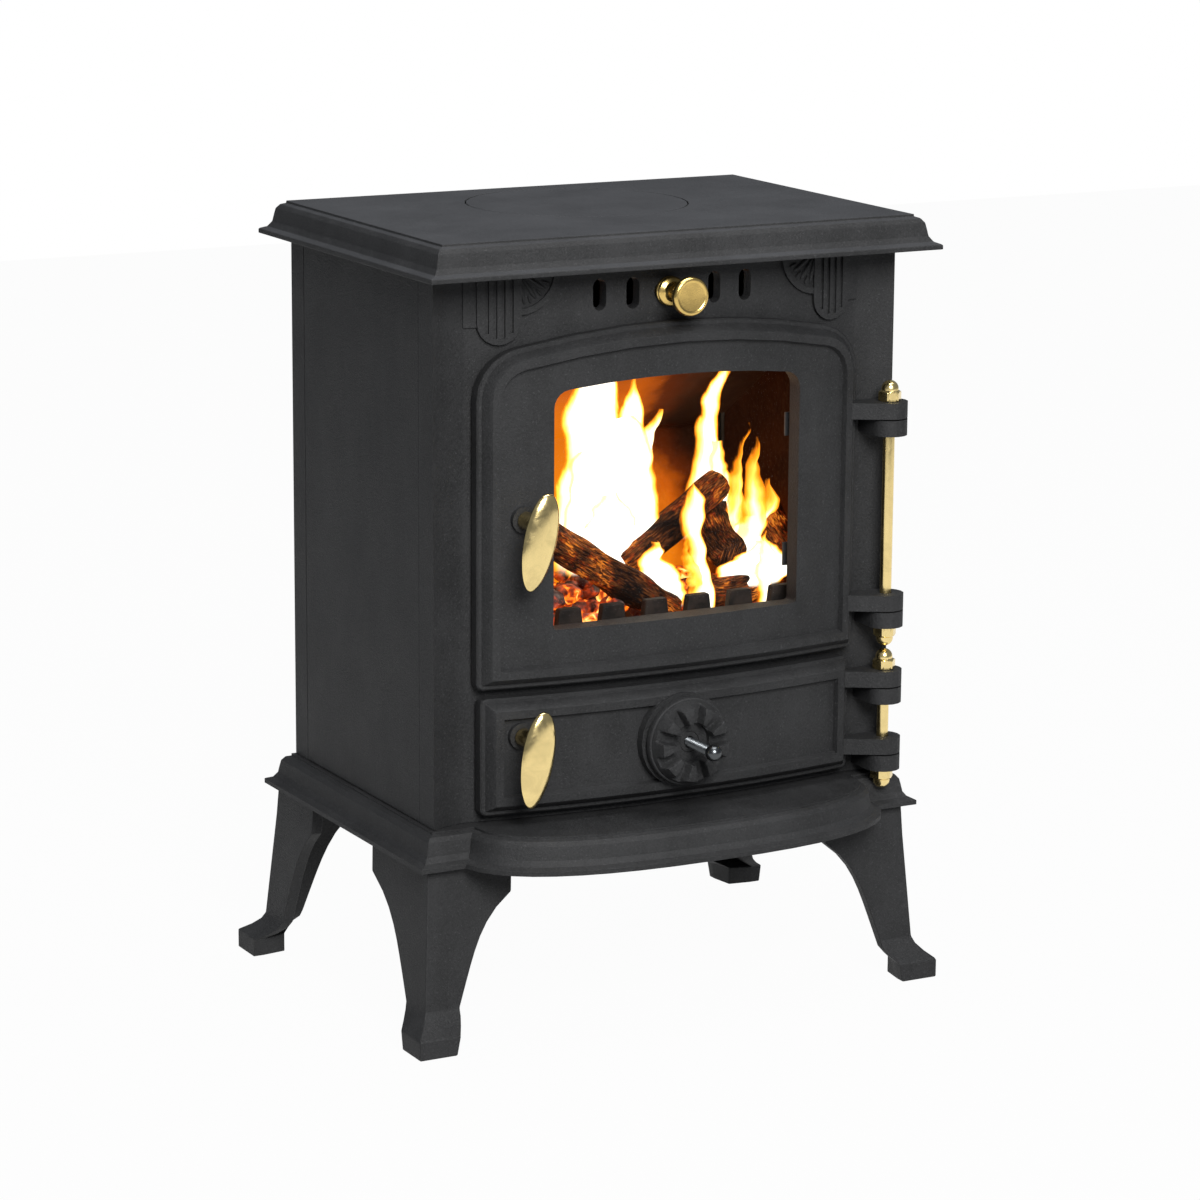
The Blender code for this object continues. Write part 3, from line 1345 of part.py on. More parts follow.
def slider_plate():
    """Sliding strip behind the front whose slots meet the front's when it is drawn to the left."""
    x0 = KNOB_X
    low, high = AIR_Z - SLIDER_HEIGHT / 2, AIR_Z + SLIDER_HEIGHT / 2
    y0, y1 = SLIDER_Y, SLIDER_Y + SLIDER_THICKNESS
    outline = rectangle(x0 - SLIDER_HALF, low, x0 + SLIDER_HALF, high)
    plate = extrude(outline, "Y", y0, y1)
    shift = KNOB_X - SLIDER_OPEN_X
    for x in AIR_SLOT_X:
        for side in (-1, 1):
            slot = stadium((side * x + shift, AIR_Z), AIR_SLOT_WIDTH, AIR_SLOT_HEIGHT, 4)
            plate = cut(plate, extrude(slot, "Y", y0 - 5 * mm, y1 + 5 * mm))
    hole = cylinder("Y", (x0, 0, AIR_Z), KNOB_SHANK + BORE_CLEARANCE, y0 - 5 * mm, y1 + 5 * mm, 12)
    return cut(plate, hole)


def slider_knob():
    """Turned brass knob: rear flange, waist and a broad, slightly dished face."""
    base = PANEL_CROWN - RUNNING_GAP
    end = SLIDER_Y + SLIDER_THICKNESS + 3 * mm
    profile = [
        (0, base - KNOB_LENGTH + 1 * mm),
        (KNOB_FACE * 0.55, base - KNOB_LENGTH),
        (KNOB_FACE - 1.2 * mm, base - KNOB_LENGTH + 1 * mm),
        (KNOB_FACE, base - KNOB_LENGTH + 2.6 * mm),
        (KNOB_FACE, base - KNOB_LENGTH + 4.4 * mm),
        (KNOB_FACE - 1.4 * mm, base - KNOB_LENGTH + 6 * mm),
        (KNOB_WAIST + 1 * mm, base - KNOB_LENGTH + 7.4 * mm),
        (KNOB_WAIST, base - KNOB_LENGTH + 9 * mm),
        (KNOB_WAIST, base - 4 * mm),
        (KNOB_BASE - 1 * mm, base - 3 * mm),
        (KNOB_BASE, base - 2 * mm),
        (KNOB_BASE, base),
        (KNOB_SHANK, base),
        (KNOB_SHANK, end),
        (0, end),
    ]
    return turned(profile, "Y", (KNOB_X, 0, AIR_Z), 18)


def air_wheel():
    """Cast spin wheel: flat flange and a raised ring of lobes round a sunk centre."""
    floor = WHEEL_FACE - WHEEL_FLOOR
    lobe_face = WHEEL_FACE - LOBE_HEIGHT
    bore = BUSH_RADIUS + RUNNING_GAP
    profile = [
        (bore, WHEEL_BACK),
        (WHEEL_RADIUS, WHEEL_BACK),
        (WHEEL_RADIUS, WHEEL_FACE + 1 * mm),
        (WHEEL_RADIUS - 1 * mm, WHEEL_FACE),
        (LOBE_OUTER, WHEEL_FACE),
        (LOBE_TOP_OUTER, lobe_face),
        (LOBE_INNER, lobe_face),
        (LOBE_INNER - 0.8 * mm, floor),
        (bore, floor),
    ]
    wheel = turned(profile, "Y", (0, 0, WHEEL_Z), 36)
    for i in range(LOBE_COUNT):
        angle = math.radians(4 + 360 * i / LOBE_COUNT)
        across = Vector((-math.sin(angle), math.cos(angle)))
        along = Vector((math.cos(angle), math.sin(angle)))
        near, far = along * (LOBE_INNER - 4 * mm), along * (LOBE_OUTER + 2 * mm)
        inner, outer = NOTCH_WIDTH / 2, NOTCH_WIDTH / 2 * NOTCH_FLARE
        corners = [
            near - across * inner,
            far - across * outer,
            far + across * outer,
            near + across * inner,
        ]
        outline = [(c.x, WHEEL_Z + c.y) for c in corners]
        wheel = cut(wheel, extrude(outline, "Y", lobe_face - 5 * mm, lobe_face + NOTCH_DEPTH))
    return wheel


def air_bush():
    """Threaded bush that carries the wheel along the stud."""
    start, end = WHEEL_BACK - WHEEL_FLANGE - WHEEL_FLOOR, WHEEL_BACK
    return tube("Y", (0, 0, WHEEL_Z), BUSH_RADIUS, STUD_RADIUS + BORE_CLEARANCE, start, end, 20)


def stud_parts():
    """(name, solid): the fixed stud with a nut behind the door and a ball nut on its end."""
    place = (0, 0, WHEEL_Z)
    inner = SKIRT_BACK + SEAT_GAP
    nut_end = inner + STUD_NUT_THICKNESS
    stud = cylinder("Y", place, STUD_RADIUS, STUD_END, nut_end + 1.5 * mm, 14)
    ball_start = STUD_END + 3.2 * mm
    profile = [(0, -BALL_RADIUS)]
    for i in range(1, 6):
        t = math.radians(-90 + 30 * i)
        profile.append((BALL_RADIUS * math.cos(t), BALL_RADIUS * math.sin(t)))
    profile.append((0, BALL_RADIUS))
    ball = turned(profile, "Y", (0, STUD_END + 0.5 * mm, WHEEL_Z), 14)
    bore = STUD_RADIUS + BORE_CLEARANCE
    ball = cut(ball, cylinder("Y", place, bore, STUD_END - SEAT_GAP, ball_start + 9 * mm, 16))
    nut = extrude(hexagon((0, WHEEL_Z), 13 * mm), "Y", inner, nut_end)
    nut = cut(nut, cylinder("Y", place, bore, inner - 5 * mm, nut_end + 5 * mm, 16))
    return [("air_stud", stud), ("stud_ball_nut", ball), ("stud_lock_nut", nut)]


# The whole stove


def build_body(builder):
    builder.add("top_plate", top_plate(), "iron")
    builder.add("hotplate_disc", hotplate(), "iron", "hotplate_pivot")
    builder.add("front_casting", front_casting(), "iron")
    builder.add("side_panel_left", side_panel(-1), "iron")
    builder.add("side_panel_right", side_panel(1), "iron")
    builder.add("back_panel", back_panel(), "iron")
    builder.add("base_plate", base_plate(), "iron")
    builder.add("flue_spigot", flue_spigot(), "iron")
    for i, place in enumerate(flue_bolt_places()):
        builder.add(f"spigot_bolt_{i + 1}", flue_bolt(place), "steel")
    corners = [("left", -1), ("right", 1)]
    for side_name, x_side in corners:
        builder.add(f"leg_front_{side_name}", leg(x_side, -1), "iron")
        builder.add(f"leg_back_{side_name}", leg(x_side, 1), "iron")
    for i, place in enumerate(leg_bolt_places()):
        builder.add(f"leg_bolt_{i + 1}", leg_bolt(place), "steel")
    for i, place in enumerate(tie_rod_places()):
        builder.add(f"tie_rod_{i + 1}", tie_rod(place), "steel")


def build_inside(builder):
    builder.add("grate", grate(), "raw_iron")
    builder.add("log_guard", log_guard(), "raw_iron")
    builder.add("liner_left", side_liner(-1), "brick")
    builder.add("liner_right", side_liner(1), "brick")
    builder.add("liner_rear", rear_liner(), "brick")
    builder.add("baffle_plate", baffle(), "raw_iron")
    builder.add("ash_pan", ash_pan(), "pan")


def build_hinge(builder, door, lugs):
    top, bottom = nut_seats(lugs)
    builder.add(f"{door}_hinge_rod", hinge_rod(lugs), "brass")
    builder.add(f"{door}_hinge_nut_top", acorn_nut(top, 1), "brass")
    builder.add(f"{door}_hinge_nut_bottom", acorn_nut(bottom, -1), "brass")


def build_handle(builder, door, pivot, lean):
    carrier = f"{door}_handle_pivot"
    builder.add(f"{door}_door_handle", handle(pivot, lean), "brass", carrier)
    builder.add(f"{door}_latch_cam", latch_cam(pivot), "steel", carrier)
    builder.add(f"{door}_latch_nut", latch_nut(pivot), "steel", carrier)


def build_fire_door(builder):
    carrier = "fire_door_pivot"
    builder.add("fire_door", fire_door(), "iron", carrier)
    builder.add("fire_door_seal", rope_seal(fire_door_outline), "rope", carrier)
    builder.add("door_glass", door_glass(), "glass", carrier)
    low, high = GLASS_BOTTOM + CLIP_LOW, GLASS_TOP - CLIP_HIGH
    places = [(-1, low), (1, low), (-1, high), (1, high)]
    for i, (side, z) in enumerate(places):
        builder.add(f"glass_clip_{i + 1}", glass_clip(side, z), "steel", carrier)
    build_hinge(builder, "fire", FIRE_LUGS_Z)
    build_handle(builder, "fire", FIRE_HANDLE, FIRE_HANDLE_LEAN)


def build_ash_door(builder):
    carrier = "ash_door_pivot"
    builder.add("ash_door", ash_door(), "iron", carrier)
    builder.add("ash_door_seal", rope_seal(ash_door_outline), "rope", carrier)
    build_hinge(builder, "ash", ASH_LUGS_Z)
    build_handle(builder, "ash", ASH_HANDLE, ASH_HANDLE_LEAN)
    for name, solid in stud_parts():
        builder.add(name, solid, "steel", carrier)
    builder.add("air_bush", air_bush(), "steel", "air_bush_pivot")
    builder.add("air_wheel", air_wheel(), "iron", "air_wheel_pivot")


def build_air_slider(builder):
    builder.add("air_slider_plate", slider_plate(), "pan", "air_slider_pivot")
    builder.add("air_slider_knob", slider_knob(), "brass", "air_slider_pivot")


def clear_scene():
    for obj in list(bpy.data.objects):
        bpy.data.objects.remove(obj, do_unlink=True)


def main():
    clear_scene()
    builder = Builder()
    build_body(builder)
    build_inside(builder)
    build_fire_door(builder)
    build_ash_door(builder)
    build_air_slider(builder)


if __name__ == "__main__":
    main()
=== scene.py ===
"""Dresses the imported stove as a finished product: castings, brass, glass, fire and studio.

Lengths are in metres in the stove's frame: +Z up, doors facing -Y, hinges on the +X side.
"""

import json
import math
import random

import bmesh
import bpy
from bpy.props import FloatProperty, FloatVectorProperty, IntProperty, PointerProperty
from bpy.types import Operator, Panel, PropertyGroup
from mathutils import Matrix, Vector, noise

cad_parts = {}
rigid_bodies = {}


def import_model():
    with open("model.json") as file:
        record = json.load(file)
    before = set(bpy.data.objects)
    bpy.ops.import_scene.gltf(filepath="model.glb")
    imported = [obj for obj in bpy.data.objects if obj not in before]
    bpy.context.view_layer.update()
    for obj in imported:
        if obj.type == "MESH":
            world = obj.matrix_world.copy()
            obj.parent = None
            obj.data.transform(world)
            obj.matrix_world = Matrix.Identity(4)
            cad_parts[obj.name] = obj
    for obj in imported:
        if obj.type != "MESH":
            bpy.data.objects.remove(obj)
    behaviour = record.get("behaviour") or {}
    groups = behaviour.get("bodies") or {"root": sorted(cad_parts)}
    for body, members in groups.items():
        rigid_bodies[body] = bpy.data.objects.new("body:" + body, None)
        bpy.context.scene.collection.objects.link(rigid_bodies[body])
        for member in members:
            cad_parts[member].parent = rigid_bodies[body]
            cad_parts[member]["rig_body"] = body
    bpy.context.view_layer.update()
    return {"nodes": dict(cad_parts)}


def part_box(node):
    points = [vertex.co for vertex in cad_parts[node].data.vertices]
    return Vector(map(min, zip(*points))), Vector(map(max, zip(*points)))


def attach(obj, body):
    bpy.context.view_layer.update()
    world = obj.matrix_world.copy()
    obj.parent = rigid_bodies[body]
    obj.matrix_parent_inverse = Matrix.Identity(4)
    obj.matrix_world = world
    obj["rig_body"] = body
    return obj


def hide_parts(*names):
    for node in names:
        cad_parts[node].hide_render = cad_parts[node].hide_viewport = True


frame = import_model()

bl_info = {
    "name": "Multi-fuel Stove",
    "version": (1, 0, 0),
    "blender": (4, 5, 0),
    "location": "View3D > Sidebar > Stove",
    "description": "Finishes, carving, fire and studio for a cast-iron stove",
    "category": "Object",
}

mm = 0.001
cm = 0.01
BACKWARDS = Vector((0, 1, 0))
UPWARDS = Vector((0, 0, 1))

# Places on the stove
BOW_RADIUS = 800 * mm
SHIFT_Y = 17.35 * mm
PANEL_CROWN = -117 * mm + SHIFT_Y
TOP_UNDERSIDE = 512 * mm
EMBERS_TOP = 270 * mm
FLAMES_MIDDLE = 360 * mm
FLAMES_TOP = 450 * mm


def bow(x):
    """How far a bowed face lies behind its crown."""
    return BOW_RADIUS - math.sqrt(BOW_RADIUS**2 - x**2)


def middle_line(low, high):
    """A point on a turned piece's axis along Y, at y = 0."""
    return Vector(((low.x + high.x) / 2, 0, (low.z + high.z) / 2))


# Shader


class Socket:
    """An output of a shader node. Arithmetic on it adds Math nodes."""

    def __init__(self, nodes, output):
        self.nodes = nodes
        self.output = output

    def maths(self, operation, *values):
        return self.nodes.add("Math", {"operation": operation}, *values)

    def __add__(self, other):
        return self.maths("ADD", self, other)

    def __sub__(self, other):
        return self.maths("SUBTRACT", self, other)

    def __rsub__(self, other):
        return self.maths("SUBTRACT", other, self)

    def __mul__(self, other):
        return self.maths("MULTIPLY", self, other)

    def __truediv__(self, other):
        return self.maths("DIVIDE", self, other)

    def __abs__(self):
        return self.maths("ABSOLUTE", self)

    __radd__ = __add__
    __rmul__ = __mul__


class Nodes:
    """Adds and links the nodes of a material or of the world."""

    def __init__(self, owner):
        owner.use_nodes = True
        self.tree = owner.node_tree

    def add(self, kind, settings, *values, out=0, **named):
        """Adds a node, sets its settings, then fills or links its sockets."""
        node = self.tree.nodes.new("ShaderNode" + kind)
        for key, setting in settings.items():
            if key == "stops":
                self.set_stops(node.color_ramp, setting)
            else:
                setattr(node, key, setting)
        for socket, value in zip(node.inputs, values):
            self.fill(socket, value)
        for key, value in named.items():
            self.fill(node.inputs[key], value)
        return Socket(self, node.outputs[out])

    @staticmethod
    def set_stops(ramp, stops):
        while len(ramp.elements) < len(stops):
            ramp.elements.new(1)
        for element, (position, colour) in zip(ramp.elements, stops):
            element.position = position
            element.color = (*colour, 1)

    def fill(self, socket, value):
        """Links a Socket, sets a value, or leaves the socket alone for None."""
        if isinstance(value, Socket):
            self.tree.links.new(value.output, socket)
        elif value is not None:
            if isinstance(value, tuple) and socket.type == "RGBA":
                value = (*value, 1)
            socket.default_value = value

    def seen(self, other):
        """1 where the camera sees straight, or by the other kind of ray named, and else 0."""
        straight = self.add("LightPath", {}, out="Is Camera Ray")
        return straight.maths("MAXIMUM", straight, self.add("LightPath", {}, out=other))

    def show(self, share, plain, shining, output):
        """Puts a share of the shining shader over the plain one and shows both."""
        both = self.add("MixShader", {}, share, plain, shining)
        self.fill(self.tree.nodes[output].inputs["Surface"], both)


class Shader(Nodes):
    """One material, built on its Principled BSDF."""

    def __init__(self, name):
        self.material = bpy.data.materials.new(name)
        super().__init__(self.material)
        self.surface = self.tree.nodes["Principled BSDF"]

    def surface_set(self, **named):
        for key, value in named.items():
            self.fill(self.surface.inputs[key.replace("_", " ")], value)

    def place(self, location=(0, 0, 0), scale=(1, 1, 1)):
        """Object coordinates, moved and scaled."""
        coordinates = self.add("TexCoord", {}, out="Object")
        return self.add("Mapping", {}, coordinates, location, None, scale)

    def part(self, vector, axis):
        return self.add("SeparateXYZ", {}, vector, out=axis)

    def facing_up(self):
        """1 on level tops, 0 on upright faces and -1 on undersides."""
        return self.part(self.add("TexCoord", {}, out="Normal"), "Z")

    def noise(self, scale, detail, rough=0.5, at=None, distortion=0.0):
        return self.add(
            "TexNoise",
            {},
            Vector=at or self.place(),
            Scale=scale,
            Detail=detail,
            Roughness=rough,
            Distortion=distortion,
        )

    def smooth(self, value, low, high):
        """0 below low and 1 above high, with a smooth step between."""
        return self.add("MapRange", {"interpolation_type": "SMOOTHSTEP"}, value, low, high)

    def mix(self, first, second, share):
        """A colour between two. The node's five sockets for other types are passed over."""
        unused = [None] * 5
        return self.add("Mix", {"data_type": "RGBA"}, share, *unused, first, second, out=2)

    def ramp(self, value, stops):
        return self.add("ValToRGB", {"stops": stops}, value)

    def bump(self, height, distance):
        return self.add("Bump", {}, Strength=1.0, Distance=distance, Height=height)


# Finishes


def shaded(colour, factor):
    return tuple(c * factor for c in colour)


def cast_iron(name, settings, dust_and_sheen=0.0):
    """Stove paint on a fine-grained casting, mottled and specked, with dust and a painted sheen, a
    paler bluish grey, on its upper faces.
    """
    s = Shader(name)
    colour = settings.colour
    grain = s.noise(1 / settings.grain_size, 4, 0.6)
    fine = s.noise(2.6 / settings.grain_size, 2, 0.6)
    cloud = s.noise(22, 4, 0.55)
    streak = s.noise(60, 3, 0.6, at=s.place(scale=(1, 1, 0.25)))
    tone = grain * 0.35 + fine * 0.25 + cloud * 0.25 + streak * 0.15
    base = s.mix(shaded(colour, 0.62), shaded(colour, 1.45), s.smooth(tone, 0.38, 0.62))
    speck = s.smooth(s.noise(1.1 / settings.grain_size, 1, 0.4, at=s.place((3, 1, 2))), 0.66, 0.74)
    base = s.mix(base, shaded(colour, 2.6), speck * 0.6)
    if dust_and_sheen:
        # Dust and painted sheen: upward faces are mixed towards a paler bluish grey, partly as dust
        # and partly as the light that falls on tops.
        film = s.smooth(s.facing_up(), 0.6, 1.0) * (cloud * 0.8 + 0.35)
        base = s.mix(base, (0.07, 0.073, 0.082), film * dust_and_sheen)
    s.surface_set(
        Base_Color=base,
        Roughness=settings.roughness + (cloud - 0.5) * 0.22 + (grain - 0.5) * 0.2,
        Metallic=0.0,
        Normal=s.bump(grain * 0.62 + fine * 0.38, settings.grain_depth),
        Specular_IOR_Level=0.28,
    )
    return s.material


def firelight(s, soot):
    """Glow of the fire on what stands round it: strong at the left and low down."""
    at = s.place()
    across, high = s.part(at, "X"), s.part(at, "Z")
    away = across + (high - FLAMES_MIDDLE) * 0.25 + (soot - 0.5) * 0.07
    near = 1 - s.smooth(away, 50 * mm, 125 * mm)
    near = near * (1 - s.smooth(high, FLAMES_MIDDLE, FLAMES_TOP) * 0.5)
    low = 1 - s.smooth(high + (soot - 0.5) * 0.05, EMBERS_TOP, EMBERS_TOP + 80 * mm)
    return s.ramp(
        near * (0.75 + soot * 0.3) + low * 0.3,
        [
            (0.0, (0.008, 0.0012, 0.0001)),
            (0.35, (0.10, 0.013, 0.0003)),
            (0.7, (0.62, 0.11, 0.0015)),
            (1.0, (1.0, 0.26, 0.006)),
        ],
    )


def fired_iron(name, glow=0.0):
    """Bare casting that has seen a fire: scale, rust and soot, with its underside aglow if lit."""
    s = Shader(name)
    grain = s.noise(700, 4, 0.65)
    scale = s.noise(90, 4, 0.6)
    base = s.mix((0.010, 0.008, 0.007), (0.03, 0.022, 0.018), s.smooth(scale, 0.38, 0.66))
    base = s.mix(base, (0.06, 0.028, 0.018), s.smooth(s.noise(160, 3, 0.6), 0.6, 0.75) * 0.4)
    s.surface_set(
        Base_Color=base,
        Roughness=0.72 + (scale - 0.5) * 0.25,
        Metallic=0.2,
        Normal=s.bump(grain * 0.6 + scale * 0.8, 0.5 * mm),
        Specular_IOR_Level=0.25,
    )
    if glow:
        under = s.smooth(s.facing_up(), -0.3, -0.05)
        light = s.mix(firelight(s, s.noise(16, 4, 0.6)), (0.0, 0.0, 0.0), under)
        s.surface_set(Emission_Color=light, Emission_Strength=glow)
    return s.material


def polished_brass(name, settings, stretch):
    """Buffed brass: faint draw lines, finger smears and slight waviness."""
    s = Shader(name)
    colour = settings.colour
    lines = s.noise(900, 2, 0.6, at=s.place(scale=stretch))
    smear = s.noise(75, 3, 0.6, distortion=0.6)
    wave = s.noise(95, 1, 0.4)
    base = s.mix(shaded(colour, 0.86), shaded(colour, 1.04), s.smooth(smear, 0.3, 0.65))
    base = s.mix(base, (0.62, 0.42, 0.16), s.smooth(s.noise(260, 2), 0.68, 0.8) * 0.25)
    s.surface_set(
        Base_Color=base,
        Metallic=1.0,
        Roughness=settings.roughness + s.smooth(smear, 0.4, 0.75) * 0.12 + (lines - 0.5) * 0.06,
        Normal=s.bump(lines * 0.25 + wave, 0.06 * mm),
    )
    return s.material


def turned_brass(name, settings, centre):
    """Brass with the fine rings that a lathe leaves on a face."""
    s = Shader(name)
    red, green, blue = settings.colour
    rings = s.add(
        "TexWave",
        {"wave_type": "RINGS", "rings_direction": "Y", "wave_profile": "SIN"},
        Vector=s.place(tuple(-centre)),
        Scale=520.0,
        Distortion=0.25,
        Detail=1.0,
        out="Fac",
    )
    smear = s.noise(110, 3, 0.6)
    gold = (red * 0.92, green * 0.82, blue * 0.6)
    base = s.mix(shaded(gold, 0.85), gold, s.smooth(smear, 0.3, 0.7))
    s.surface_set(
        Base_Color=base,
        Metallic=1.0,
        Roughness=settings.roughness * 1.25 + smear * 0.08,
        Normal=s.bump(rings, 0.022 * mm),
    )
    return s.material


def bright_zinc(name, colour=(0.62, 0.63, 0.64)):
    """Zinc plate with its faint crystal mottle and grey bloom."""
    s = Shader(name)
    crystal = s.add("TexVoronoi", {}, Vector=s.place(), Scale=420.0, out="Color")
    mottle = s.add("SeparateColor", {}, crystal, out="Red")
    bloom = s.noise(130, 3, 0.6)
    base = s.mix(shaded(colour, 0.78), colour, mottle * 0.5 + bloom * 0.5)
    s.surface_set(
        Base_Color=base,
        Metallic=1.0,
        Roughness=0.2 + bloom * 0.16 + mottle * 0.05,
        Normal=s.bump(s.noise(500, 2), 0.05 * mm),
    )
    return s.material


def stove_glass(name, low, high):
    """Ceramic glass, clear in the middle, with a film of soot creeping in from its edges."""
    s = Shader(name)
    middle = (low + high) / 2
    reach = (high - low) / 2
    at = s.place(tuple(-middle))
    across, up = s.part(at, "X"), s.part(at, "Z")
    smoke = s.noise(34, 4, 0.6, distortion=0.4)
    edge = s.smooth(abs(across) / reach.x + smoke * 0.12, 0.98, 1.14)
    foot = s.smooth(abs(up) / reach.z + smoke * 0.12, 0.99, 1.15)
    film = (edge + foot) * 0.5
    s.surface_set(
        Base_Color=s.mix((0.01, 0.007, 0.005), (0.025, 0.017, 0.01), smoke),
        Roughness=0.05 + film * 0.3,
        Alpha=0.03 + film * 0.5,
        Specular_IOR_Level=0.2,
    )
    s.material.surface_render_method = "BLENDED"
    return s.material


def vermiculite(name):
    """Pressed vermiculite, sooted, with flakes and the fire's glow on it."""
    s = Shader(name)
    flake = s.add("TexVoronoi", {}, Vector=s.place(), Scale=260.0, out="Distance")
    soot = s.noise(16, 4, 0.6)
    base = s.mix((0.020, 0.008, 0.004), (0.008, 0.004, 0.003), s.smooth(soot, 0.35, 0.6))
    base = s.mix(base, (0.035, 0.018, 0.010), s.smooth(flake, 0.5, 0.2) * 0.35)
    s.surface_set(
        Base_Color=base,
        Roughness=0.85 + (soot - 0.5) * 0.2,
        Normal=s.bump(flake * 0.6 + s.noise(500, 3) * 0.4, 0.7 * mm),
        Specular_IOR_Level=0.08,
        Emission_Color=firelight(s, soot),
        Emission_Strength=1.0,
    )
    return s.material


def glass_rope(name):
    """Knitted glass-fibre rope: fine diagonal stitches in grey-black."""
    s = Shader(name)
    strands = [
        s.add(
            "TexWave",
            {"bands_direction": "DIAGONAL"},
            Vector=s.place(scale=(way, 1, 1)),
            Scale=260.0,
            Distortion=1.0,
            out="Fac",
        )
        for way in (1, -1)
    ]
    stitch = strands[0] * strands[1]
    base = s.mix((0.02, 0.02, 0.021), (0.13, 0.13, 0.135), stitch)
    s.surface_set(Base_Color=base, Roughness=0.9 - stitch * 0.1, Normal=s.bump(stitch, 0.6 * mm))
    return s.material


def sheet_steel(name):
    """Black sheet steel with rolling marks and paler scuffs."""
    s = Shader(name)
    roll = s.noise(260, 3, 0.6, at=s.place(scale=(0.12, 1, 1)))
    scuff = s.smooth(s.noise(48, 5, 0.7, distortion=0.8), 0.57, 0.68)
    base = s.mix((0.018, 0.018, 0.02), (0.06, 0.06, 0.062), roll * 0.6 + scuff * 0.4)
    s.surface_set(
        Base_Color=base,
        Metallic=0.35,
        Roughness=0.42 + roll * 0.16 + scuff * 0.15,
        Normal=s.bump(roll, 0.12 * mm),
    )
    return s.material


def burning_bark(name, bright=1.0):
    """Split bark: long fibres, fissures along the log, charred patches and a few lit cracks, with a
    faint painted glow of firelight on the raised, uncharred wood.
    """
    s = Shader(name)
    uv = s.add("UVMap", {"uv_map": "Bark"})
    fibres = s.add("Mapping", {}, uv, None, None, (9, 1.3, 1))
    fibre = s.noise(1.0, 5, 0.65, at=fibres)
    splits = s.add("Mapping", {}, uv, (4, 2, 0), None, (2.6, 0.5, 1))
    split = s.noise(1.0, 3, 0.6, at=splits, distortion=0.4)
    char = s.noise(30, 4, 0.6)
    fissure = 1 - s.smooth(abs(split - 0.5), 0.0, 0.05)
    brown = shaded((0.32, 0.095, 0.02), bright)
    wood = s.mix((0.03, 0.008, 0.003), brown, s.smooth(fibre, 0.4, 0.68))
    burnt = s.smooth(char + fibre * 0.3, 0.68 - bright * 0.18, 0.78)
    base = s.mix((0.010, 0.006, 0.005), wood, burnt)
    base = s.mix(base, (0.004, 0.003, 0.003), fissure * 0.85)
    # Glowing cracks, plus a weaker painted glow of firelight on raised, uncharred fibres.
    lit = fissure * s.smooth(char, 0.5, 0.62) + s.smooth(fibre * 0.6 + char * 0.5, 0.64, 0.8) * 0.35
    embers = [(0.0, (0.0, 0.0, 0.0)), (0.4, (0.32, 0.03, 0.002)), (1.0, (1.0, 0.32, 0.03))]
    fire = s.ramp(lit, embers)
    s.surface_set(
        Base_Color=base,
        Roughness=0.82 - fibre * 0.12,
        Emission_Color=fire,
        Emission_Strength=0.9,
        Normal=s.bump(fibre * 0.7 - fissure * 0.8, 1.6 * mm),
        Specular_IOR_Level=0.12,
    )
    return s.material


def glowing_coal(name):
    """Embers: grey ash over red and orange heat."""
    s = Shader(name)
    edges = {"feature": "DISTANCE_TO_EDGE"}
    cell = s.add("TexVoronoi", edges, Vector=s.place(), Scale=130.0, out="Distance")
    heat = s.noise(38, 4, 0.65)
    base = s.mix((0.012, 0.010, 0.010), (0.12, 0.10, 0.09), s.smooth(s.noise(150, 4), 0.45, 0.7))
    glow = s.smooth(heat, 0.42, 0.66) * (1 - s.smooth(cell, 0.02, 0.3) * 0.7)
    fire = s.ramp(
        glow,
        [
            (0.0, (0.01, 0.0, 0.0)),
            (0.35, (0.35, 0.03, 0.002)),
            (0.7, (1.0, 0.22, 0.01)),
            (1.0, (1.0, 0.7, 0.2)),
        ],
    )
    s.surface_set(
        Base_Color=base,
        Roughness=0.9 - cell * 0.2,
        Emission_Color=fire,
        Emission_Strength=1.8,
        Normal=s.bump(cell, 1.5 * mm),
    )
    return s.material


def flame_light(name, settings, heat):
    """A flame's thin sheet of light: white heart, yellow skin and orange rim, from its edge in."""
    s = Shader(name)
    uv = s.add("UVMap", {"uv_map": "Flame"})
    inwards, up = s.part(uv, "X"), s.part(uv, "Y")
    lick = s.noise(34, 4, 0.6, at=s.place(scale=(1.3, 1.3, 0.4)), distortion=0.7)
    fine = s.noise(120, 3, 0.6, at=s.place(scale=(1.3, 1.3, 0.3)))
    body = inwards * 1.3 + (lick - 0.5) + (fine - 0.5) * 0.45
    body = body - s.smooth(up, 0.75, 1.0) * 0.12
    colours = [
        (0.03, shaded(settings.edge_colour, 0.6)),
        (0.16, settings.edge_colour),
        (0.38, settings.body_colour),
        (0.84, settings.heart_colour),
    ]
    s.surface_set(
        Base_Color=(0.0, 0.0, 0.0),
        Roughness=1.0,
        Emission_Color=s.ramp(body * heat, colours),
        Emission_Strength=settings.brightness,
        Alpha=s.smooth(body, 0.0, 0.3) * s.smooth(up, 0.0, 0.1) * 0.45,
        Specular_IOR_Level=0.0,
    )
    s.material.surface_render_method = "BLENDED"
    return s.material


def studio_floor(name, colour):
    """Matt white sweep. Seen straight or in a reflection it also shines, so that it stays white."""
    s = Shader(name)
    tone = s.noise(6, 2, 0.5)
    s.surface_set(
        Base_Color=s.mix(shaded(colour, 0.985), colour, tone),
        Roughness=0.9 - tone * 0.05,
        Specular_IOR_Level=0.0,
    )
    plain = Socket(s, s.surface.outputs[0])
    glow = s.add("Emission", {}, (1.0, 1.0, 1.0), 1.0)
    s.show(s.seen("Is Glossy Ray") * 0.97, plain, glow, "Material Output")
    return s.material


# Pieces


def meshed(name, bm):
    """The mesh of a bmesh, which is used up."""
    mesh = bpy.data.meshes.new(name)
    bm.to_mesh(mesh)
    bm.free()
    return mesh


def placed(name, data):
    """A new object in the scene."""
    obj = bpy.data.objects.new(name, data)
    bpy.context.scene.collection.objects.link(obj)
    return obj


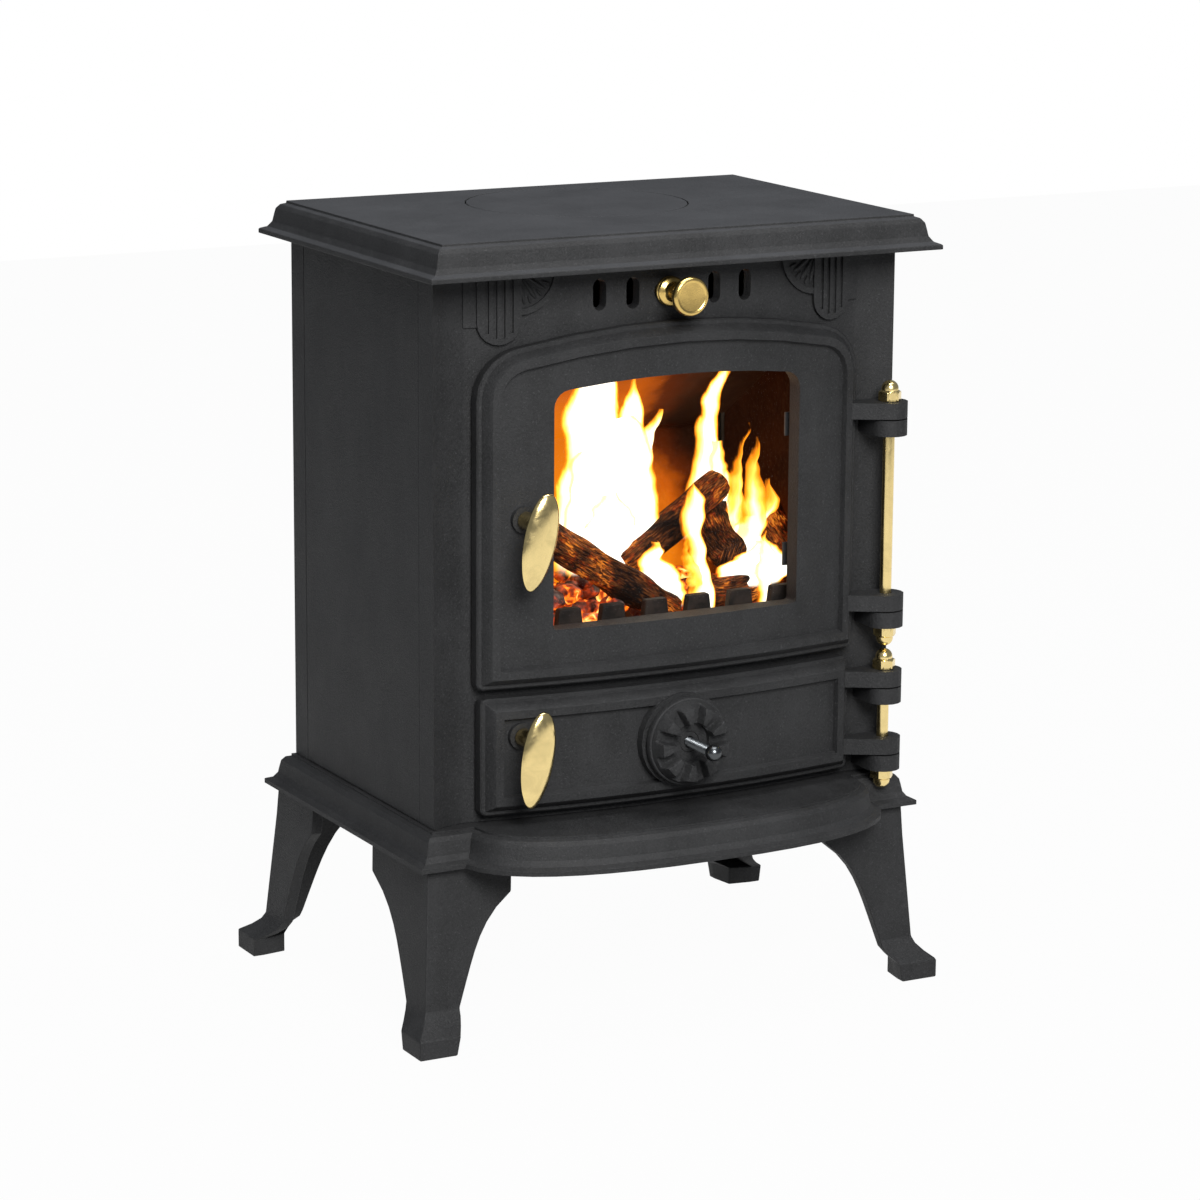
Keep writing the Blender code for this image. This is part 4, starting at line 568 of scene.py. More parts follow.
def piece(name, bm, finish, body, replaces=(), sharp=40):
    """A finished object from a bmesh, riding on a body and standing for the CAD nodes named."""
    mesh = meshed(name, bm)
    mesh.shade_smooth()
    mesh.set_sharp_from_angle(angle=math.radians(sharp))
    mesh.materials.append(finish)
    obj = placed(name, mesh)
    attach(obj, body)
    if replaces:
        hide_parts(*replaces)
    return obj


def soften(obj, width, segments, angle):
    """Rounds the edges of a casting and evens its shading."""
    bevel = obj.modifiers.new("Rounded edges", "BEVEL")
    bevel.width = width
    bevel.segments = segments
    bevel.limit_method = "ANGLE"
    bevel.angle_limit = math.radians(angle)
    bevel.use_clamp_overlap = True
    bevel.miter_outer = "MITER_ARC"
    even = obj.modifiers.new("Even shading", "WEIGHTED_NORMAL")
    even.keep_sharp = False
    even.weight = 80


def refined(node, finish, width, segments=2, angle=24):
    """A merged copy of a CAD node, with softened edges, that stands for it."""
    source = frame["nodes"][node]
    bm = bmesh.new()
    bm.from_mesh(source.data)
    bmesh.ops.remove_doubles(bm, verts=bm.verts, dist=0.002 * mm)
    bmesh.ops.dissolve_limit(
        bm,
        angle_limit=math.radians(0.25),
        use_dissolve_boundaries=False,
        verts=bm.verts,
        edges=bm.edges,
        delimit={"NORMAL"},
    )
    obj = piece(f"{node}_cast", bm, finish, source["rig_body"], (node,), sharp=180)
    soften(obj, width, segments, angle)


def spun(profile, axis, centre, steps=48):
    """A bmesh turned from (radius, distance along the axis) points, about Y or Z."""
    out = Vector((1, 0, 0))
    bm = bmesh.new()
    verts = [bm.verts.new(centre + out * r + axis * h) for r, h in profile]
    edges = [bm.edges.new(pair) for pair in zip(verts, verts[1:])]
    bmesh.ops.spin(
        bm,
        geom=verts + edges,
        cent=centre,
        axis=axis,
        angle=2 * math.pi,
        steps=steps,
        use_merge=True,
    )
    bmesh.ops.remove_doubles(bm, verts=bm.verts, dist=0.001 * mm)
    bmesh.ops.recalc_face_normals(bm, faces=bm.faces)
    return bm


def rounded(points, radius):
    """A profile whose inner corners are rounded."""
    segments = 3
    result = [points[0]]
    for before, corner, after in zip(points, points[1:], points[2:]):
        c = Vector(corner)
        back, on = Vector(before) - c, Vector(after) - c
        cut = min(radius, back.length * 0.45, on.length * 0.45)
        a, b = c + back.normalized() * cut, c + on.normalized() * cut
        for i in range(segments + 1):
            t = i / segments
            p = a * (1 - t) ** 2 + c * 2 * t * (1 - t) + b * t**2
            result.append((p.x, p.y))
    result.append(points[-1])
    return result


# Settings


class CastIronSettings(PropertyGroup):
    colour: FloatVectorProperty(
        name="Paint", description="Stove paint", subtype="COLOR", default=(0.0172, 0.0173, 0.0178)
    )
    roughness: FloatProperty(name="Roughness", description="Paint's roughness", default=0.62)
    grain_size: FloatProperty(
        name="Grain size", description="Casting grain", default=1.5 * mm, unit="LENGTH"
    )
    grain_depth: FloatProperty(
        name="Grain depth", description="Casting relief", default=0.65 * mm, unit="LENGTH"
    )
    rounding: FloatProperty(
        name="Rounding", description="Radius on casting edges", default=0.8 * mm, unit="LENGTH"
    )


class BrassSettings(PropertyGroup):
    colour: FloatVectorProperty(
        name="Brass", description="Brass colour", subtype="COLOR", default=(0.88, 0.69, 0.31)
    )
    roughness: FloatProperty(name="Roughness", description="Brass's roughness", default=0.16)


class FireSettings(PropertyGroup):
    heart_colour: FloatVectorProperty(
        name="Heart", description="Hottest part", subtype="COLOR", default=(1.0, 0.97, 0.84)
    )
    body_colour: FloatVectorProperty(
        name="Body", description="Body of a flame", subtype="COLOR", default=(1.0, 0.62, 0.08)
    )
    edge_colour: FloatVectorProperty(
        name="Edge", description="Rim of a flame", subtype="COLOR", default=(0.95, 0.24, 0.008)
    )
    brightness: FloatProperty(name="Brightness", description="Flames' strength", default=2.8)
    coals: IntProperty(name="Coals", description="Number of embers", default=120)


class StudioSettings(PropertyGroup):
    floor_colour: FloatVectorProperty(
        name="Floor", description="Floor colour", subtype="COLOR", default=(0.3, 0.3, 0.3)
    )
    key: FloatProperty(name="Key", description="Key lamp", default=132.0, unit="POWER")
    fill: FloatProperty(name="Fill", description="Overhead lamp", default=44.0, unit="POWER")
    lens: FloatProperty(name="Lens", description="Camera's lens in mm", default=123.7)


# Operators


class StoveOperator(Operator):
    """Shares the undo option."""

    bl_options = {"REGISTER", "UNDO"}


class STOVE_OT_body(StoveOperator):
    """Finish the body castings, flue spigot and legs"""

    bl_idname = "stove.body"
    bl_label = "Body Castings"

    def execute(self, context):
        iron = context.scene.stove_iron
        plain = cast_iron("stove_black", iron)
        # The top castings get dust and a painted sheen on their upper faces.
        top = cast_iron("stove_black_top", iron, dust_and_sheen=0.3)
        for node in ("side_panel_left", "side_panel_right", "back_panel", "flue_spigot"):
            refined(node, plain, iron.rounding * 0.7)
        refined("top_plate", top, iron.rounding * 0.6)
        refined("hotplate_disc", top, iron.rounding * 1.6, segments=3)
        refined("front_casting", plain, iron.rounding * 0.6)
        refined("base_plate", plain, iron.rounding * 0.7)
        for end in ("front", "back"):
            for side in ("left", "right"):
                refined(f"leg_{end}_{side}", plain, iron.rounding * 1.3, segments=3)
        return {"FINISHED"}


class STOVE_OT_fixings(StoveOperator):
    """Finish the bolts and tie rods"""

    bl_idname = "stove.fixings"
    bl_label = "Bolts and Tie Rods"

    def execute(self, context):
        zinc = bright_zinc("bright_zinc")
        sheet = sheet_steel("black_sheet")
        for i in range(1, 5):
            refined(f"leg_bolt_{i}", zinc, 0.3 * mm)
            refined(f"tie_rod_{i}", sheet, 0.3 * mm)
        for i in range(1, 4):
            refined(f"spigot_bolt_{i}", zinc, 0.3 * mm)
        return {"FINISHED"}


class STOVE_OT_carving(StoveOperator):
    """Carve the leaves in the fans beside the corner columns"""

    bl_idname = "stove.carving"
    bl_label = "Corner Carving"

    def execute(self, context):
        iron = bpy.data.materials["stove_black"]
        for side, word in ((-1, "left"), (1, "right")):
            bm = self.carving(side)
            piece(f"fan_carving_{word}", bm, iron, "stove", sharp=60)
        return {"FINISHED"}

    def carving(self, side):
        """Leaves and seeds that spread from the fan's corner."""
        column, gap, spread = 112 * mm, 0.6 * mm, 22
        hub = Vector((side * column, 0, TOP_UNDERSIDE - gap))
        dish_floor = PANEL_CROWN - 1.1 * mm
        leaves, seeds = (4, 12, 5, 22.5, 3.6), (3, 23, 17.5, 23.5, 2.2)
        bm = bmesh.new()
        for count, first, near, far, width in (leaves, seeds):
            for i in range(count):
                angle = math.radians(270 - side * (first + spread * i))
                self.leaf(bm, hub, angle, near * mm, far * mm, width * mm)
        for v in bm.verts:
            v.co.y += dish_floor + bow(v.co.x)
        return bm

    def leaf(self, bm, hub, angle, near, far, width):
        """A low drop along a ray from the hub, narrower at its near end."""
        made = bmesh.ops.create_uvsphere(bm, u_segments=12, v_segments=8, radius=1)["verts"]
        along = Vector((math.cos(angle), 0, math.sin(angle)))
        across = Vector((-math.sin(angle), 0, math.cos(angle)))
        height = 1.5 * mm
        for v in made:
            x, y, z = v.co
            narrow = 1 - 0.45 * (1 - z) / 2
            place = hub + along * ((near + far) / 2 + z * (far - near) / 2)
            v.co = place + across * x * width / 2 * narrow + Vector((0, y * height, 0))


class STOVE_OT_doors(StoveOperator):
    """Finish both doors with their ropes, the window and its clips"""

    bl_idname = "stove.doors"
    bl_label = "Doors"

    def execute(self, context):
        iron = context.scene.stove_iron
        plain = bpy.data.materials["stove_black"]
        for node in ("fire_door", "ash_door"):
            refined(node, plain, iron.rounding * 0.6)
        rope = glass_rope("glass_fibre_rope")
        for node in ("fire_door_seal", "ash_door_seal"):
            refined(node, rope, 0.2 * mm, segments=1, angle=60)
        low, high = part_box("door_glass")
        refined("door_glass", stove_glass("ceramic_glass", low, high), 0.25 * mm)
        sheet = bpy.data.materials["black_sheet"]
        for i in range(1, 5):
            refined(f"glass_clip_{i}", sheet, 0.2 * mm)
        return {"FINISHED"}


class STOVE_OT_handles(StoveOperator):
    """Model the leaf handles and finish their latches"""

    bl_idname = "stove.handles"
    bl_label = "Door Handles"

    def execute(self, context):
        brass = polished_brass("buffed_brass", context.scene.stove_brass, stretch=(1, 1, 0.16))
        zinc = bpy.data.materials["bright_zinc"]
        for door, lean in (("fire", 12.5), ("ash", 9.5)):
            node = f"{door}_door_handle"
            bm = self.handle(node, middle_line(*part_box(f"{door}_latch_nut")), math.radians(lean))
            piece(f"{door}_leaf_handle", bm, brass, f"{door}_handle", (node,), 50)
            for part in ("cam", "nut"):
                refined(f"{door}_latch_{part}", zinc, 0.3 * mm)
        return {"FINISHED"}

    def handle(self, node, axis, lean):
        """A leaf on a flared neck, with its spindle through the door's boss."""
        low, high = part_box(node)
        front = low.y
        neck = front + 4.2 * mm
        boss = PANEL_CROWN - 16.4 * mm + bow(axis.x)
        shoulder = PANEL_CROWN + 21.1 * mm
        profile = [
            (0, neck),
            (4.2 * mm, neck),
            (4.4 * mm, neck + 3 * mm),
            (5.4 * mm, neck + 5 * mm),
            (6 * mm, neck + 7.5 * mm),
            (6 * mm, boss - 1 * mm),
            (5.4 * mm, boss),
            (5 * mm, boss),
            (5 * mm, shoulder),
            (4 * mm, shoulder),
            (4 * mm, high.y),
            (0, high.y),
        ]
        bm = spun(rounded(profile, 0.5 * mm), BACKWARDS, axis, 32)
        self.leaf(bm, axis + BACKWARDS * (front + 5 * mm), lean)
        return bm

    def leaf(self, bm, pivot, lean):
        """An oval with a blunt top, a finer tip and a domed face, hung by its upper third."""
        made = bmesh.ops.create_uvsphere(bm, u_segments=40, v_segments=36, radius=1)["verts"]
        length, half, face, back = 65 * mm, 11.8 * mm, 5 * mm, 1.6 * mm
        hung, widest = 0.34, 0.495
        turn = Matrix.Rotation(lean, 3, "Y")
        for v in made:
            x, y, z = v.co
            down = (1 - z) / 2
            around = math.hypot(x, y) or 1
            share = down**0.47 * max(1 - down, 0) ** 0.55 / widest
            wide = x / around * half * share
            deep = y / around * (face if y < 0 else back) * share**0.8
            v.co = turn @ Vector((wide, deep, (hung - down) * length)) + pivot
        bmesh.ops.remove_doubles(bm, verts=made, dist=0.02 * mm)


class STOVE_OT_hinges(StoveOperator):
    """Model the domed nuts and finish the hinge rods"""

    bl_idname = "stove.hinges"
    bl_label = "Hinges"

    def execute(self, context):
        brass = polished_brass("drawn_brass", context.scene.stove_brass, stretch=(1, 1, 0.05))
        for door in ("fire", "ash"):
            low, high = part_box(f"{door}_hinge_rod")
            foot = Vector(((low.x + high.x) / 2, (low.y + high.y) / 2, low.z))
            radius, length = (high.x - low.x) / 2, high.z - low.z
            rod = [(0, 0), (radius, 0), (radius, length), (0, length)]
            bm = spun(rounded(rod, 0.4 * mm), UPWARDS, foot, 40)
            piece(f"{door}_rod", bm, brass, "stove", (f"{door}_hinge_rod",))
            for end, way in (("top", 1), ("bottom", -1)):
                node = f"{door}_hinge_nut_{end}"
                bm = self.nut(*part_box(node), way)
                piece(f"{door}_domed_nut_{end}", bm, brass, "stove", (node,), 22)
        return {"FINISHED"}

    def nut(self, low, high, way):
        """Hexagon with its corners chamfered off, under a dome. Its rows are radii and heights."""
        base = Vector(((low.x + high.x) / 2, (low.y + high.y) / 2, low.z if way > 0 else high.z))
        flat, dome, shoulder, crown = 7, 5.9, 8.2, 14
        rows = [(0, 0), (7.3, 0), (8.1, 0.7), (8.1, 5.8), (7.6, 6.2), (7, 6.6), (6.3, 7)]
        rows += [(dome, 7.4), (dome, shoulder)]
        for i in range(1, 8):
            t = math.radians(11.25 * i)
            rows.append((dome * math.cos(t), shoulder + (crown - shoulder) * math.sin(t)))
        rows.append((0, crown))
        bm = spun([(reach * mm, height * mm) for reach, height in rows], UPWARDS * way, base, 72)
        for v in bm.verts:
            spoke = (v.co - base).xy
            if spoke.length:
                turn = math.degrees(math.atan2(spoke.y, spoke.x))
                off_flat = (turn + 15) % 60 - 30
                edge = flat * mm / math.cos(math.radians(off_flat))
                v.co.xy = base.xy + spoke * min(edge / spoke.length, 1)
        return bm


class STOVE_OT_air_controls(StoveOperator):
    """Model the vent knob, the spin wheel with its stud and ball, and finish the rest"""

    bl_idname = "stove.air_controls"
    bl_label = "Air Controls"

    def execute(self, context):
        low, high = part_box("air_slider_knob")
        middle = middle_line(low, high)
        knob = spun(self.knob_profile(low, high), BACKWARDS, middle)
        finish = turned_brass("turned_brass", context.scene.stove_brass, middle)
        piece("vent_knob", knob, finish, "air_slider", ("air_slider_knob",))
        refined("air_slider_plate", bpy.data.materials["black_sheet"], 0.2 * mm)
        wheel = self.wheel(*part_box("air_wheel"))
        black = bpy.data.materials["stove_black"]
        piece("lobed_wheel", wheel, black, "air_wheel", ("air_wheel",), 48)
        zinc = bright_zinc("dull_zinc", (0.11, 0.117, 0.122))
        refined("air_bush", black, 0.3 * mm)
        refined("stud_lock_nut", zinc, 0.3 * mm)
        low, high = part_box("air_stud")
        stud = spun(self.stud_profile(low, high), BACKWARDS, middle_line(low, high), 24)
        piece("threaded_stud", stud, zinc, "ash_door", ("air_stud",), 30)
        low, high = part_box("stud_ball_nut")
        ball = spun(self.ball_profile(low, high), BACKWARDS, middle_line(low, high), 36)
        piece("stud_ball", ball, zinc, "ash_door", ("stud_ball_nut",))
        return {"FINISHED"}

    def wheel(self, low, high):
        """Flange, a ring of nine lobes with sloping sides, and a sunk centre round the bore."""
        back = middle_line(low, high) + BACKWARDS * high.y
        deep = (high.y - low.y) / mm
        bore, rim = 7.2, 30
        rows = [bore, 12.6, 13.2, 13.5, 13.8, 14.1, 14.6] + [15.2 + i for i in range(10)]
        rows += [25, 25.5, 26, 26.7, 27.4, 28, 28.5, 28.9, 29.4, 29.75, rim]
        section = [(reach, deep) for reach in rows] + [(rim, 0), (bore, 0), (bore, deep)]
        bm = spun([(reach * mm, height * mm) for reach, height in section], -BACKWARDS, back, 234)
        for v in bm.verts:
            if v.co.y < high.y - 1 * mm:
                spoke = (v.co - back).xz
                turn = math.atan2(spoke.y, spoke.x)
                v.co.y = high.y - self.lobe(round(spoke.length / mm, 2), turn, deep) * mm
        return bm

    def lobe(self, reach, turn, deep):
        """Height of the wheel's face, in mm, at a radius in mm and an angle."""
        centre, lobes, first = 4.5, 9, 4
        if reach < 13.3:
            return centre
        if reach < 14.1:
            face = centre + (deep - centre) * (reach - 13.2) / 0.9
        elif reach < 25:
            face = deep - 0.6 * ((reach - 19.5) / 5.5) ** 2
        elif reach < 28.6:
            face = deep - 0.6 - (deep - 4.9) * (reach - 25) / 3.5
        else:
            face = 4.3 - 1.2 * max((reach - 28.9) / 1.1, 0) ** 3
        pitch = 360 / lobes
        aside = (math.degrees(turn) - first + pitch / 2) % pitch - pitch / 2
        off = abs(reach * math.sin(math.radians(aside)))
        half, slope = 1.9 + 0.07 * (reach - 10), 1.6
        share = min(max((off - half) / slope, 0), 1)
        share = share * share * (3 - 2 * share)
        floor = min(face, 7.5)
        return floor + (face - floor) * share

    def knob_profile(self, low, high):
        """Face with a raised rim, waist, and a grooved flange against the front."""
        face = low.y
        rim = (high.x - low.x) / 2
        base = face + 32 * mm
        points = [
            (0, face + 0.9 * mm),
            (rim - 3.4 * mm, face + 0.6 * mm),
            (rim - 2.4 * mm, face),
            (rim - 1 * mm, face + 0.3 * mm),
            (rim, face + 1.8 * mm),
            (rim, face + 4.6 * mm),
            (rim - 1.4 * mm, face + 6.4 * mm),
            (6.8 * mm, face + 8.2 * mm),
            (5.5 * mm, face + 11 * mm),
            (5.3 * mm, base - 9 * mm),
            (6.4 * mm, base - 6.4 * mm),
            (9.2 * mm, base - 5.2 * mm),
            (10 * mm, base - 4.4 * mm),
            (10 * mm, base - 3.4 * mm),
            (9.2 * mm, base - 2.9 * mm),
            (9.2 * mm, base - 2.5 * mm),
            (10 * mm, base - 2 * mm),
            (10 * mm, base),
            (3.5 * mm, base),
            (3.5 * mm, high.y),
            (0, high.y),
        ]
        return rounded(points, 0.7 * mm)

    def stud_profile(self, low, high):
        """Threads as fine rings along the stud, with a chamfer at each end."""
        root, crest = 2.75 * mm, 3.45 * mm
        pitch = 1.25 * mm
        points = [(0, low.y), (root, low.y)]
        y = low.y + 0.6 * mm
        while y < high.y - pitch:
            points += [(crest, y), (crest, y + 0.25 * pitch), (root, y + 0.55 * pitch)]
            y += pitch
        return points + [(root, high.y), (0, high.y)]

    def ball_profile(self, low, high):
        """A ball with a short skirt round the stud's end."""
        radius = (high.x - low.x) / 2
        centre = low.y + radius
        skirt, inside = 3.35 * mm, centre + 1 * mm
        points = [(0, low.y)]
        for i in range(1, 14):
            t = math.radians(-90 + 11 * i)
            points.append((radius * math.cos(t), centre + radius * math.sin(t)))
        return points + [(skirt, high.y - 0.2 * mm), (skirt, inside), (0, inside)]


class STOVE_OT_firebox(StoveOperator):
    """Finish the grate, guard, liners, baffle and ash pan"""

    bl_idname = "stove.firebox"
    bl_label = "Firebox"

    def execute(self, context):
        fired = fired_iron("fired_iron")
        refined("grate", fired, 0.5 * mm)
        refined("baffle_plate", fired_iron("lit_iron", glow=1.0), 0.5 * mm)
        refined("log_guard", fired, 1.2 * mm, segments=3)
        board = vermiculite("vermiculite_lit")
        for node in ("liner_left", "liner_right", "liner_rear"):
            refined(node, board, 0.8 * mm)
        refined("ash_pan", bpy.data.materials["black_sheet"], 0.3 * mm)
        return {"FINISHED"}


# Logs: both ends and the radius in mm, a seed, and whether the bark is pale
LOGS = (
    ((-78, -40, 330), (32, -48, 262), 12.5, 4, False),
    ((14, -4, 288), (96, 6, 339), 12, 9, False),
    ((92, 20, 312), (94, -22, 290), 15, 15, False),
    ((56, -32, 268), (128, -28, 272), 13, 23, False),
    ((146, -28, 276), (142, 18, 312), 15, 31, True),
)

# Flames: how far back in mm, a seed, the heat, and the outline's rows, each a height with its left
# and right edges in mm. The last five stand in front of the logs.
HOT, COOL = 1.0, 0.48
FLAMES = (
    (0, 3, HOT, [(284, -36, 14), (306, -36, 15), (330, -35, 16), (351, -33, 17), (371, -30, 18),
      (392, -33, 18), (409, -26, 17), (420, -22, 15), (432, -15, 12), (446, -4, 6)]),
    (-3, 5, HOT, [(286, -33, 40), (310, -32, 44), (335, -30, 45), (358, -27, 43), (376, -22, 36),
      (392, -14, 24)]),
    (7, 8, HOT, [(282, 2, 32), (310, 4, 34), (344, 6, 36), (372, 9, 38), (390, 14, 37),
      (402, 20, 34), (411, 25, 31), (419, 28, 30)]),
    (12, 12, HOT, [(280, 20, 30), (300, 20, 36), (317, 20, 42), (344, 24, 47), (365, 28, 48),
      (376, 36, 51), (384, 44, 53), (392, 51, 54)]),
    (-6, 15, HOT, [(284, -30, 36), (300, -26, 34), (318, -16, 26), (340, -6, 12)]),
    (20, 19, HOT, [(296, 70, 122), (314, 75, 117), (335, 79, 115), (352, 83, 110), (365, 85, 105),
      (379, 85, 104), (392, 87, 105), (404, 95, 110), (413, 102, 113), (421, 109, 112)]),
    (15, 23, HOT, [(300, 76, 112), (322, 82, 110), (344, 88, 108), (366, 92, 102)]),
    (4, 27, COOL, [(300, 97, 119), (320, 99, 118), (335, 102, 117), (350, 106, 116),
      (365, 110, 116), (380, 113, 115)]),
    (-2, 33, COOL, [(294, 103, 130), (315, 107, 129), (330, 111, 127), (345, 114, 124),
      (358, 117, 122), (370, 119, 120)]),
    (3, 37, COOL, [(286, 110, 142), (305, 116, 143), (318, 122, 141), (328, 128, 138),
      (340, 133, 135)]),
    (0, 39, HOT, [(282, 98, 142), (294, 99, 138), (304, 103, 131), (314, 109, 124)]),
    (-55, 41, HOT, [(258, 38, 58), (270, 38, 58), (285, 38, 55), (300, 36, 52), (313, 36, 51),
      (327, 33, 51), (340, 32, 51), (347, 34, 46), (354, 37, 41)]),
    (-58, 47, COOL, [(280, 34, 47), (300, 32, 43), (312, 31, 37), (322, 31, 33)]),
    (-42, 53, HOT, [(264, 14, 47), (278, 7, 47), (288, 5, 41), (298, 7, 31), (312, 15, 22)]),
    (-40, 61, HOT, [(272, 84, 120), (281, 70, 136), (288, 67, 136), (294, 80, 122), (304, 98, 110)]),
    (-44, 71, HOT, [(252, 100, 111), (265, 98, 113), (285, 96, 114), (300, 99, 110), (312, 103, 105)]),
)


class STOVE_OT_fire(StoveOperator):
    """Build the logs, embers and flames behind the window"""

    bl_idname = "stove.fire"
    bl_label = "Fire"

    def execute(self, context):
        settings = context.scene.stove_fire
        bark, pale_bark = burning_bark("burning_bark"), burning_bark("pale_bark", 1.6)
        for i, (start, end, radius, seed, pale) in enumerate(LOGS):
            bm = self.log(Vector(start) * mm, Vector(end) * mm, radius * mm, seed)
            finish = pale_bark if pale else bark
            piece(f"log_{i + 1}", bm, finish, "stove", sharp=70)
        coals = self.coals(settings.coals)
        piece("ember_bed", coals, glowing_coal("glowing_coal"), "stove")
        lights = {
            HOT: flame_light("hot_flame", settings, HOT),
            COOL: flame_light("cool_flame", settings, COOL),
        }
        for i, (depth, seed, heat, outline) in enumerate(FLAMES):
            bm = self.flame(outline, depth * mm, seed)
            piece(f"flame_{i + 1}", bm, lights[heat], "stove", sharp=80)
        return {"FINISHED"}

    def log(self, start, end, radius, seed):
        """A branch with bark ridges, a slight bend and rough ends. Its map is in centimetres."""
        length = (end - start).length
        girth = 6.28 * radius
        rows, sides = int(length / (3 * mm)), 36
        turn = (end - start).to_track_quat("Z", "Y").to_matrix()
        bm = bmesh.new()
        bmesh.ops.create_grid(bm, x_segments=sides, y_segments=rows, size=1)
        uv = bm.loops.layers.uv.new("Bark")
        maps = {}
        for v in bm.verts:
            share = round((v.co.x + 1) / 2 * sides) / sides
            along = round((v.co.y + 1) / 2 * rows) / rows
            maps[v] = (share * girth / cm + seed, along * length / cm)
            angle = 2 * math.pi * share
            around = Vector((math.cos(angle), math.sin(angle), 0))
            ridge = noise.noise(around * 3.4 + UPWARDS * (along * length * 30 + seed * 7))
            lump = noise.noise(around * 0.9 + UPWARDS * (along * length * 26 + seed * 3))
            taper = (1 - 0.14 * along) * (0.9 if along in (0, 1) else 1)
            reach = radius * taper * (1 + ridge * 0.12 + lump * 0.3)
            sway = Vector((math.sin(along * 3.1 + seed) * radius * 0.3, 0, 0))
            v.co = start + turn @ (around * reach + UPWARDS * along * length + sway)
        for face in bm.faces:
            for loop in face.loops:
                loop[uv].uv = maps[loop.vert]
        bmesh.ops.remove_doubles(bm, verts=bm.verts, dist=0.01 * mm)
        for face in bmesh.ops.holes_fill(bm, edges=bm.edges, sides=0)["faces"]:
            for loop in face.loops:
                loop[uv].uv = (loop.vert.co - start).xy / cm
        bmesh.ops.recalc_face_normals(bm, faces=bm.faces)
        return bm

    def coals(self, count):
        """Broken embers heaped over the grate's slots."""
        bm = bmesh.new()
        chance = random.Random(11)
        low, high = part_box("grate")
        for _ in range(count):
            size = chance.uniform(6, 13) * mm
            x = chance.uniform(low.x + 14 * mm, high.x - 14 * mm)
            y = chance.uniform(low.y + 22 * mm, high.y - 14 * mm)
            crown = 24 * mm if x < 0 else 14 * mm
            heap = crown * (1 - (x / high.x) ** 2) * chance.uniform(0.1, 1.0)
            made = bmesh.ops.create_icosphere(bm, subdivisions=2, radius=size)["verts"]
            turn = Matrix.Rotation(chance.uniform(0, 6.3), 3, "Z")
            flat = Vector((1, chance.uniform(0.6, 0.9), chance.uniform(0.5, 0.75)))
            seed = chance.uniform(0, 90)
            place = Vector((x, y, high.z + size * 0.45 + heap))
            for v in made:
                rough = 1 + 0.35 * noise.noise(v.co * 160 + Vector((seed, 0, 0)))
                v.co = turn @ (v.co * flat * rough) + place
        return bm

    def flame(self, outline, depth, seed):
        """A thin wavering sheet between (height, left, right) edges. Its map holds the distance in
        from the rim, in centimetres, and the height's share."""
        bm = bmesh.new()
        bmesh.ops.create_grid(bm, x_segments=18, y_segments=44, size=1)
        uv = bm.loops.layers.uv.new("Flame")
        low, high = outline[0][0], outline[-1][0]
        belly = 4
        maps = {}
        for v in bm.verts:
            u, t = (v.co.x + 1) / 2, (v.co.y + 1) / 2
            height = low + (high - low) * t
            left, right = self.edges(outline, height)
            waver = noise.noise(Vector((seed, 0, t * 5))) * 4 * t
            left += noise.noise(Vector((seed, 1, t * 9))) * 3 + waver
            right += noise.noise(Vector((seed, 2, t * 9))) * 3 + waver
            ripple = noise.noise(Vector((seed + 9, u * 1.4, t * 2.2))) * 10
            deep = ripple - (1 - (2 * u - 1) ** 2) * belly
            v.co = Vector((left + (right - left) * u, deep, height)) * mm
            v.co.y += depth
            maps[v] = (min(u, 1 - u) * max(right - left, 0) / 10, t)
        for face in bm.faces:
            for loop in face.loops:
                loop[uv].uv = maps[loop.vert]
        bmesh.ops.solidify(bm, geom=bm.faces[:], thickness=0.3 * mm)
        bmesh.ops.recalc_face_normals(bm, faces=bm.faces)
        return bm

    def edges(self, outline, height):
        """Left and right edge at a height, eased between the outline's rows."""
        for (z0, left0, right0), (z1, left1, right1) in zip(outline, outline[1:]):
            if height <= z1:
                break
        share = (height - z0) / (z1 - z0)
        share = share * share * (3 - 2 * share) * 0.5 + share * 0.5
        return left0 + (left1 - left0) * share, right0 + (right1 - right0) * share


